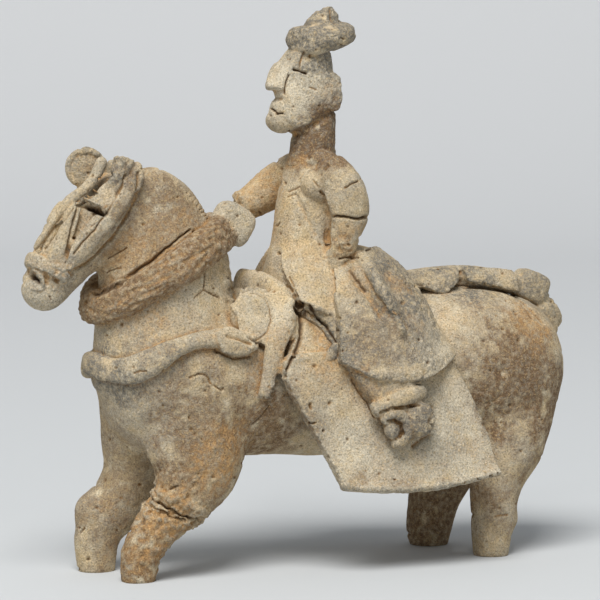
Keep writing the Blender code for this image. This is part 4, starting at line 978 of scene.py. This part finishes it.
rider_marks = {
    "cuts": [
        ([(-6.1, -6, 133.3), (-4.2, -6, 132.8), (-2.5, -6, 132.2)], (0.4, 0.55), 1.4, 1.0),
        ([(-10.6, -1, 122.9), (-10.2, -4, 121.7), (-9, -5, 121.5)], (0.35, 0.4), 1.0, 0.9),
        ([(-6.6, -3.8, 131.6), (-7.4, -3.7, 129.3), (-8, -4, 127)], (0.4, 0.35), 0.8, 0.7),
        ([(-2.4, -4.4, 137.6), (-3.2, -4.6, 135.7), (-3.8, -4.8, 134.1)], (0.4, 0.35), 0.6, 0.5),
        ([(-10, 0, 126), (-9.2, -3, 125.6)], (1.8, 1.4), 1.3, 0.25),
        ([(-7.4, 3, 134.2), (-8.8, 3, 131.2), (-9.8, 2, 128)], (1.3, 1.3), -0.6, 0),
        ([(-10.4, 0, 129), (-10.2, -2, 128.6)], (1.3, 1.3), -0.4, 0),
        ([(-5, -3.4, 115.8), (-2.6, -5, 117), (0.4, -6, 118.8), (4, -6, 121.2)], (1.2, 1.2), 1.0, 0.1),
        ([(-4.6, 1.3, 115.2), (-5.2, -1.8, 116)], (0.5, 0.4), 0.9, 0.9),
        ([(-1.2, -6, 128.4), (0.6, -6, 127.8)], (0.4, 0.4), 0.4, 0.2),
        ([(13.6, -4, 142.6), (14.4, -3, 143.8)], (0.4, 0.5), 0.9, 0.8),
        ([(6.7, -1.7, 148.9), (5.8, -4.3, 146.3), (6.8, -4.5, 145.2)], (0.5, 0.5), 0.8, 0.4),
        ([(6.6, -8.8, 141.6), (7.4, -8.8, 141.2)], (0.4, 0.4), 0.6, 0.6),
        ([(0.6, -14.7, 94.5), (1.9, -17.4, 94.4), (4.2, -18.9, 94.1), (7, -19.1, 93.8),
          (10.1, -17.7, 94.2)], (0.4, 0.5), 1.5, 1.0),
        ([(3.1, -18, 102.3), (4.6, -18, 103.1), (7.2, -17.5, 103.8)], (0.4, 0.4), 0.8, 0.7),
        ([(-1.4, -12.4, 101), (0, -13, 98), (0.8, -13.2, 94), (0.6, -12.6, 90),
          (0.6, -12.4, 86)], (0.5, 1.0), 1.2, 0.3),
        ([(-6.2, -2.5, 100.4), (-5.5, -4.2, 101.1), (-4.5, -5.8, 101.9)], (0.35, 0.3), 0.5, 0.4),
        ([(-6.2, -2.5, 99), (-5, -4.2, 100)], (0.3, 0.3), 0.4, 0.3),
        ([(-1.6, -8.6, 103.6), (-0.4, -9.6, 102)], (0.35, 0.3), 0.5, 0.4),
        ([(-8.2, 0.6, 91.2), (-8, -1.3, 92.1)], (0.4, 0.3), 0.6, 0.5),
        ([(-5.4, -5.2, 99.8), (-3.9, -8.3, 94.5), (-1.8, -10, 89.3)], (0.9, 0.9), 0.5, 0),
        ([(0.6, -12, 100.6), (1, -12.8, 97.6)], (0.6, 0.5), -0.5, 0),
        ([(-5.6, -6, 77), (-5.7, -6, 76.9)], (0.5, 0.5), 0.8, 1.0),
        ([(4.4, -19.3, 80.4), (5.6, -20.9, 77.4), (7.4, -22.3, 74.6),
          (10.4, -24.6, 69)], (2.4, 1.5), 1.5, 0.15),
        ([(4.4, -19.3, 80.4), (6, -20.9, 77.8), (7.4, -22.3, 75.4)], (0.8, 0.5), 0.5, 0.9),
        ([(9.4, -20.4, 80), (10.4, -22.9, 76.4), (12.4, -25, 72), (15.4, -26.5, 64)], (2, 1.5), -2, 0),
        ([(15, -20, 79.4), (17, -22.6, 74), (19.6, -24, 68)], (2.2, 2), 1.1, 0),
        ([(-1.2, -22.8, 57.2), (3.8, -25.6, 52.9), (10.5, -29.8, 52.6), (19.8, -29.1, 54),
          (33, -21.8, 57.4)], (2, 2), -0.3, 0),
        ([(-0.4, -20, 74), (-1, -21, 68), (-1.4, -22, 60)], (1.2, 1.2), -0.9, 0),
        ([(24, -28, 43.5), (23.6, -28, 40), (23.2, -28, 36.5), (18.6, -28, 33.6)], (0.9, 0.8), 1.1, 0.3),
        ([(-9.4, -15.2, 70), (-6, -17.4, 68), (-2.8, -18.8, 65.6)], (1.1, 1.1), 1.6, 0.35),
        ([(-9, -15.4, 72.6), (-5.4, -17.4, 70.8), (-1.6, -18.4, 69)], (0.9, 0.9), -0.7, 0),
        ([(2.6, -15.6, 83), (5, -17, 83.6), (7.4, -17, 83.4)], (0.4, 0.4), 0.7, 0.8),
        ([(11.6, -14, 85), (13.4, -13, 85.4)], (0.4, 0.4), 0.7, 0.8),
        ([(7.6, -30, 43.2), (10.2, -31.4, 44.4), (13.9, -31.9, 44.6),
          (18.8, -31, 45)], (0.45, 0.5), 1.0, 0.6),
        ([(9.4, -31, 40.8), (11, -31.3, 41.2), (12.9, -31.3, 40), (13.4, -31.3, 38.2),
          (12.6, -31.3, 36.6)], (0.45, 0.45), 1.0, 0.7),
        ([(21.6, -25.6, 61.6), (21.7, -25.6, 61.5)], (0.5, 0.5), 0.8, 0.8),
    ],
    "tears": [
        ([(8, -6, 131.6), (8.6, -6, 127), (7.6, -6, 122.8), (4.6, -6.4, 121.6)], 0.9, 0.3),
        ([(-15, 12, 98), (-15.6, 14, 95), (-12, 13, 91.6)], 2.2, 0.6),
        ([(-9.4, -15.2, 72), (-5.2, -17.8, 69.4), (-1, -18.6, 67.4)], 1, 0.3),
        ([(2, -15.8, 88), (4, -16.6, 84.4), (6, -17, 84)], 2.2, 0.4),
        ([(3.4, -1, 149), (6.9, -2, 149.4), (9.4, -1, 147)], 1.6, 0.3),
        ([(-1, -22.6, 56.4), (8, -29, 51), (20, -29, 52.6), (33.4, -22, 56)], 1.4, 0.3),
        ([(20, -8, 82.6), (25.6, -12, 75), (31, -17, 63)], 1.4, 0.4),
    ],
    "notches": [],
    "blots": {
        # The film blot at (6, -4, 115) on the rider's neck is partly painted shade under the head.
        "film": [((3, -4, 144), 9, 1.6), ((6, -4, 115), 8, 2), ((4, -14, 102), 8, 0.35),
            ((0, -10, 94), 6, 0.35), ((12, -25, 60), 15, 0.6), ((22, -18, 74), 13, 0.8),
            ((-1, -22, 62), 8, 0.8), ((19, -31, 40), 7, 0.9), ((-6, -6, 78), 5, 0.3)],
        "pale": [((-2, -6, 127), 11, 1.2), ((24, -24, 58), 9, 0.8)],
        # The brown blot at (5, -5, 113) on the rider's neck is partly painted shade under the head.
        "brown": [((5, -5, 113), 8, 2.6), ((10, -26, 62), 9, 0.5), ((16, -31, 40), 8, 0.3),
            ((3, -16, 86), 4, 0.8), ((-12, 13, 96), 11, 0.45)],
        "earth": [((5, -17, 90), 6, 0.7), ((-10, 12, 97), 12, 0.9), ((-6, -4, 86), 10, 0.35),
            ((6, -18, 76), 5, 0.6), ((6, -24, 51), 6, 0.7), ((5, -5, 126), 4, 0.3)],
        "rough": [((12, -26, 60), 18, 0.25), ((3, -17, 86), 5, 0.5), ((-12, 13, 96), 9, 0.5),
            ((3, -4, 142), 12, 0.3), ((16, -31, 40), 7, 0.35)],
    },
}


# The clay itself: a sandy buff earthenware. Grey burial film lies on what stands out, orange earth in the
# hollows, and darker brown on a few parts that were wetter. The brown is also painted shade in fine hollows
# and creases, and the cuts and pits are painted with near-black shade.
BUFF = (0.60, 0.475, 0.305)
YELLOW = (0.62, 0.46, 0.24)
CREAM = (0.74, 0.65, 0.47)
ASH = (0.52, 0.46, 0.36)
PALE = (0.73, 0.65, 0.50)
GREY = (0.22, 0.20, 0.165)
ORANGE = (0.54, 0.31, 0.125)
BROWN = (0.20, 0.125, 0.07)
GRIT = (0.10, 0.075, 0.05)
CUT_SHADE = (0.06, 0.035, 0.02)


def mixed(nodes, links, factor, first, second, blend='MIX'):
    """A colour mix node. Each input is a socket or a plain value."""
    node = nodes.new("ShaderNodeMix")
    node.data_type = 'RGBA'
    node.blend_type = blend
    for socket, value in ((node.inputs[0], factor), (node.inputs[6], first), (node.inputs[7], second)):
        if isinstance(value, bpy.types.NodeSocket):
            links.new(value, socket)
        elif isinstance(value, tuple):
            socket.default_value = value + (1.0,)
        else:
            socket.default_value = value
    return node.outputs[2]


def clay_material():
    """Layers of colour, each over the last. A speckle is its size in metres, its detail and how its
    noise is stretched."""
    clay = bpy.data.materials.new("fired_clay")
    clay.use_nodes = True
    nodes, links = clay.node_tree.nodes, clay.node_tree.links
    shader = nodes["Principled BSDF"]
    where = nodes.new("ShaderNodeTexCoord").outputs["Object"]

    def speckle(size, detail, low, high, bottom=0.0, top=1.0):
        texture = nodes.new("ShaderNodeTexNoise")
        texture.inputs["Scale"].default_value = 1 / size
        texture.inputs["Detail"].default_value = detail
        texture.inputs["Roughness"].default_value = 0.65
        links.new(where, texture.inputs["Vector"])
        ramp = nodes.new("ShaderNodeMapRange")
        for name, value in (("From Min", low), ("From Max", high), ("To Min", bottom), ("To Max", top)):
            ramp.inputs[name].default_value = value
        links.new(texture.outputs["Fac"], ramp.inputs["Value"])
        return ramp.outputs["Result"]

    def held(name):
        attribute = nodes.new("ShaderNodeAttribute")
        attribute.attribute_name = name
        return attribute.outputs["Fac"]

    def times(a, b):
        node = nodes.new("ShaderNodeMath")
        node.operation = 'MULTIPLY'
        node.use_clamp = True
        links.new(a, node.inputs[0])
        links.new(b, node.inputs[1])
        return node.outputs[0]

    def over(below, colour, share):
        return mixed(nodes, links, share, below, colour)

    colour = over(BUFF, YELLOW, speckle(0.005, 5, 0.42, 0.64, 0, 0.6))
    colour = over(colour, CREAM, speckle(0.003, 4, 0.5, 0.68, 0, 0.8))
    colour = over(colour, ASH, speckle(0.007, 5, 0.46, 0.62, 0, 0.6))
    colour = over(colour, PALE, times(held("pale"), speckle(0.0014, 6, 0.3, 0.6, 0.5, 1)))
    colour = over(colour, GREY, times(held("film"), speckle(0.0011, 6, 0.38, 0.54, 0.4, 1)))
    # The brown layer is partly real staining and partly painted shade in fine hollows, creases and shaded
    # places.
    colour = over(colour, BROWN, times(held("brown"), speckle(0.0012, 6, 0.38, 0.54, 0.4, 1)))
    colour = over(colour, ORANGE, times(held("earth"), speckle(0.0012, 5, 0.36, 0.6, 0.1, 0.85)))
    colour = over(colour, YELLOW, speckle(0.0006, 3, 0.54, 0.64, 0, 0.5))
    colour = over(colour, GRIT, speckle(0.0005, 2, 0.57, 0.65, 0, 0.5))
    colour = mixed(nodes, links, 1.0, colour, speckle(0.00045, 3, 0.3, 0.7, 0.68, 1.3), 'MULTIPLY')
    # Painted shade, near black, in the cuts and pits.
    colour = over(colour, CUT_SHADE, held("painted_shade"))
    links.new(colour, shader.inputs["Base Color"])
    shader.inputs["Roughness"].default_value = 0.95
    shader.inputs["Specular IOR Level"].default_value = 0.15
    bump = nodes.new("ShaderNodeBump")
    bump.inputs["Strength"].default_value = 1.0
    bump.inputs["Distance"].default_value = 0.0003
    links.new(speckle(0.0006, 5, 0.2, 0.8), bump.inputs["Height"])
    links.new(bump.outputs["Normal"], shader.inputs["Normal"])
    return clay


fired_clay = clay_material()


# The finish. Each piece is pressed, made uneven as a thumbed surface is, marked, stained, thinned and set
# in its place. The pieces meet in creases, where earth has gathered and where brown is painted as shade.
PIECE_TRIANGLES = 190000
COLLAR_RUN = np.array((0.895, 0, 0.446))
COLLAR_STREAKS = (5, 0.8, 16)
COLLAR_STREAK_HEIGHT = 0.42
SWELLS = ((9, 11, 0.34), (4.4, 12, 0.2))
GRAINS = ((2.2, 13, 0.1), (1.1, 14, 0.09), (0.6, 15, 0.05))
GRAIN_ON_CLEAN_CLAY = 0.35
ROUGH_CLODS = (1.4, 17, 0.28)
PATCHES = ((12, 21, 0.25), (4, 22, 0.25))
PIT_SPREAD = 110
PIT_SEED = 51
BROAD_HOLLOWS = 2.1
CREASE_LOOK = 3
CREASE_REACH = 0.8
pieces = {
    "horse_head": (head_parts, 0.24, head_marks),
    "horse": (horse_parts, 0.38, horse_marks),
    "harness_and_saddle": (gear_parts, 0.3, horse_marks),
    "rider": (rider_parts, 0.28, rider_marks),
    "rider_head": (rider_head_parts, 0.19, rider_marks),
}


def finished(name, parts, grain, blots):
    """One piece of the figure, from its pressed parts to the thinned, stained and placed skin."""
    skin = Skin(parts, grain)
    places = skin.places
    others, _ = gathered([other for key, (other, _, _) in pieces.items() if key != name])
    gap = np.array([others.find_nearest(p, CREASE_LOOK)[3] or CREASE_LOOK for p in places])
    collar = skin.of_part("collar")
    clods, film = skin.stain(blots, "rough"), skin.stain(blots, "film")
    rough = GRAIN_ON_CLEAN_CLAY + np.clip(clods + np.clip(film + collar, 0, 1), 0, 1)
    amount = sum(lumpy(places, size, seed) * height for size, seed, height in SWELLS)
    amount += sum(lumpy(places, size, seed) * height for size, seed, height in GRAINS) * rough
    amount += lumpy(places, *ROUGH_CLODS[:2]) * ROUGH_CLODS[2] * clods
    amount += fibrous(places, COLLAR_RUN, *COLLAR_STREAKS) * COLLAR_STREAK_HEIGHT * collar
    skin.move(amount)
    # Lines run on from one piece to the next, so every piece takes all of them.
    for marks in (head_marks, horse_marks, rider_marks):
        for line, width, depth, painted_shade in marks["cuts"]:
            skin.cut(line, width, depth, painted_shade)
        for line, reach, height in marks["tears"]:
            skin.tear(line, reach, height)
        for line, reach, depth, count in marks["notches"]:
            skin.notch(line, reach, depth, count)
    skin.pit(round(len(places) * grain * grain / PIT_SPREAD), PIT_SEED)
    skin.move(skin.marks)
    broad = hollows(skin, BROAD_HOLLOWS)
    fine = hollows(skin, FINE_HOLLOWS)
    crease = np.exp(-(gap / CREASE_REACH) ** 2)
    patchy = sum(lumpy(places, size, seed) * strength for size, seed, strength in PATCHES)
    film, earth, brown, pale = (skin.stain(blots, kind) for kind in ("film", "earth", "brown", "pale"))
    haze = np.clip(0.1 + patchy - broad * 0.3, 0, 0.4)
    stains = {
        "film": np.clip(film - broad * 0.4, 0, 1) * (1 - collar) + haze,
        "earth": earth + broad * 0.8 + fine * 3 + patchy - 0.05 + crease * 0.8 - film * 0.4,
        # Brown in the fine hollows and in the creases between pieces is painted shade.
        "brown": brown + collar * 1.2 + fine * 3 - 0.1 + crease * 0.5,
        "pale": pale - broad * 0.3,
        # Painted shade in the cuts and pits.
        "painted_shade": np.minimum(skin.painted_shade * 1.2 - 0.2, 0.95),
    }
    for stain, values in stains.items():
        layer = skin.mesh.attributes.new(stain, 'FLOAT', 'POINT')
        layer.data.foreach_set("value", np.clip(values, 0, 1).astype(np.float32))
    lean = bpy.data.objects.new(name, skin.mesh)
    bpy.context.scene.collection.objects.link(lean)
    thin = lean.modifiers.new("thin", 'DECIMATE')
    thin.ratio = min(1, PIECE_TRIANGLES / (2 * len(skin.mesh.polygons)))
    thin.use_collapse_triangulate = True
    graph = bpy.context.evaluated_depsgraph_get()
    thinned = bpy.data.meshes.new_from_object(lean.evaluated_get(graph))
    bpy.data.objects.remove(lean, do_unlink=True)
    flat = np.empty(len(thinned.vertices) * 3)
    thinned.vertices.foreach_get("co", flat)
    spots = (flat.reshape(-1, 3) - (MIDDLE_STEP, 0, 0)) * step
    thinned.vertices.foreach_set("co", np.clip(spots, cad_low, cad_high).ravel())
    thinned.update()
    thinned.materials.clear()
    thinned.materials.append(fired_clay)
    thinned.shade_smooth()
    piece = bpy.data.objects.new(name, thinned)
    bpy.context.scene.collection.objects.link(piece)
    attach(piece, "root")
    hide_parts("horse_and_rider")


for name, (parts, grain, marks) in pieces.items():
    finished(name, parts, grain, marks["blots"])


# The table it stands on: pale grey paper that sweeps up behind, darker at the front.
FLOOR_GREY = (0.54, 0.56, 0.575)
WALL_GREY = (0.84, 0.85, 0.865)
FLOOR_HALF = 1.6
SWEEP_RADIUS = 0.5
FLOOR_TURN = -26
DARK_UNTIL = 0.1

rows = []
for degrees in range(0, 91, 6):
    angle = math.radians(degrees)
    back = FLOOR_HALF - SWEEP_RADIUS + math.sin(angle) * SWEEP_RADIUS
    rows.append((back, SWEEP_RADIUS * (1 - math.cos(angle))))
profile = [(-FLOOR_HALF, 0)] + rows + [(FLOOR_HALF, 2 * FLOOR_HALF)]
points = [(x, y, z) for y, z in profile for x in (-2 * FLOOR_HALF, 2 * FLOOR_HALF)]
faces = [(2 * k, 2 * k + 1, 2 * k + 3, 2 * k + 2) for k in range(len(profile) - 1)]
paper = bpy.data.meshes.new("paper")
paper.from_pydata(points, [], faces)
paper.shade_smooth()
paper_material = bpy.data.materials.new("pale_paper")
paper_material.use_nodes = True
paper_nodes, paper_links = paper_material.node_tree.nodes, paper_material.node_tree.links
paper_shader = paper_nodes["Principled BSDF"]
paper_place = paper_nodes.new("ShaderNodeSeparateXYZ")
paper_links.new(paper_nodes.new("ShaderNodeTexCoord").outputs["Object"], paper_place.inputs[0])
paper_back = paper_nodes.new("ShaderNodeMapRange")
paper_back.inputs["From Min"].default_value = DARK_UNTIL
paper_back.inputs["From Max"].default_value = FLOOR_HALF
paper_links.new(paper_place.outputs["Y"], paper_back.inputs["Value"])
paper_colour = mixed(paper_nodes, paper_links, paper_back.outputs["Result"], FLOOR_GREY, WALL_GREY)
paper_links.new(paper_colour, paper_shader.inputs["Base Color"])
paper_shader.inputs["Roughness"].default_value = 0.9
paper.materials.append(paper_material)
floor = bpy.data.objects.new("floor", paper)
bpy.context.scene.collection.objects.link(floor)
floor.rotation_euler = (0, 0, math.radians(FLOOR_TURN))


# The light: one wide soft box overhead, a little to the front and left, and dim walls all round.
WALL_GLOW = (0.93, 0.97, 1.0)
WALL_STRENGTH = 0.33
BOX_COLOUR = (1.0, 0.985, 0.96)
BOX_PLACE = Vector((-0.6, -0.75, 1.55))
BOX_AIM = Vector((0, 0, 0.07))
BOX_SIZE = 0.9
BOX_POWER = 38.0
world = bpy.data.worlds.new("studio")
world.use_nodes = True
world.node_tree.nodes["Background"].inputs["Color"].default_value = WALL_GLOW + (1.0,)
world.node_tree.nodes["Background"].inputs["Strength"].default_value = WALL_STRENGTH
bpy.context.scene.world = world
bpy.context.scene.view_settings.view_transform = 'Standard'
box = bpy.data.lights.new("soft_box", 'AREA')
box.shape = 'SQUARE'
box.size = BOX_SIZE
box.energy = BOX_POWER
box.color = BOX_COLOUR
light = bpy.data.objects.new("soft_box", box)
light.location = BOX_PLACE
light.rotation_euler = (BOX_PLACE - BOX_AIM).to_track_quat('Z', 'Y').to_euler()
bpy.context.scene.collection.objects.link(light)


# The camera: a long lens, at the height of the hat and looking a little down, about 26 degrees
# round from the horse's near side toward its head.
TARGET = Vector((0.0009, 0.0028, 0.0708))
DISTANCE = 0.946
LENS = 210.01
camera_data = bpy.data.cameras.new("camera")
camera_data.sensor_width = 36.0
camera_data.lens = LENS
camera_data.clip_end = 20.0
camera = bpy.data.objects.new("camera", camera_data)
camera.location = TARGET + TOWARD_VIEWER * DISTANCE
camera.rotation_euler = TOWARD_VIEWER.to_track_quat('Z', 'Y').to_euler()
bpy.context.scene.collection.objects.link(camera)
bpy.context.scene.camera = camera
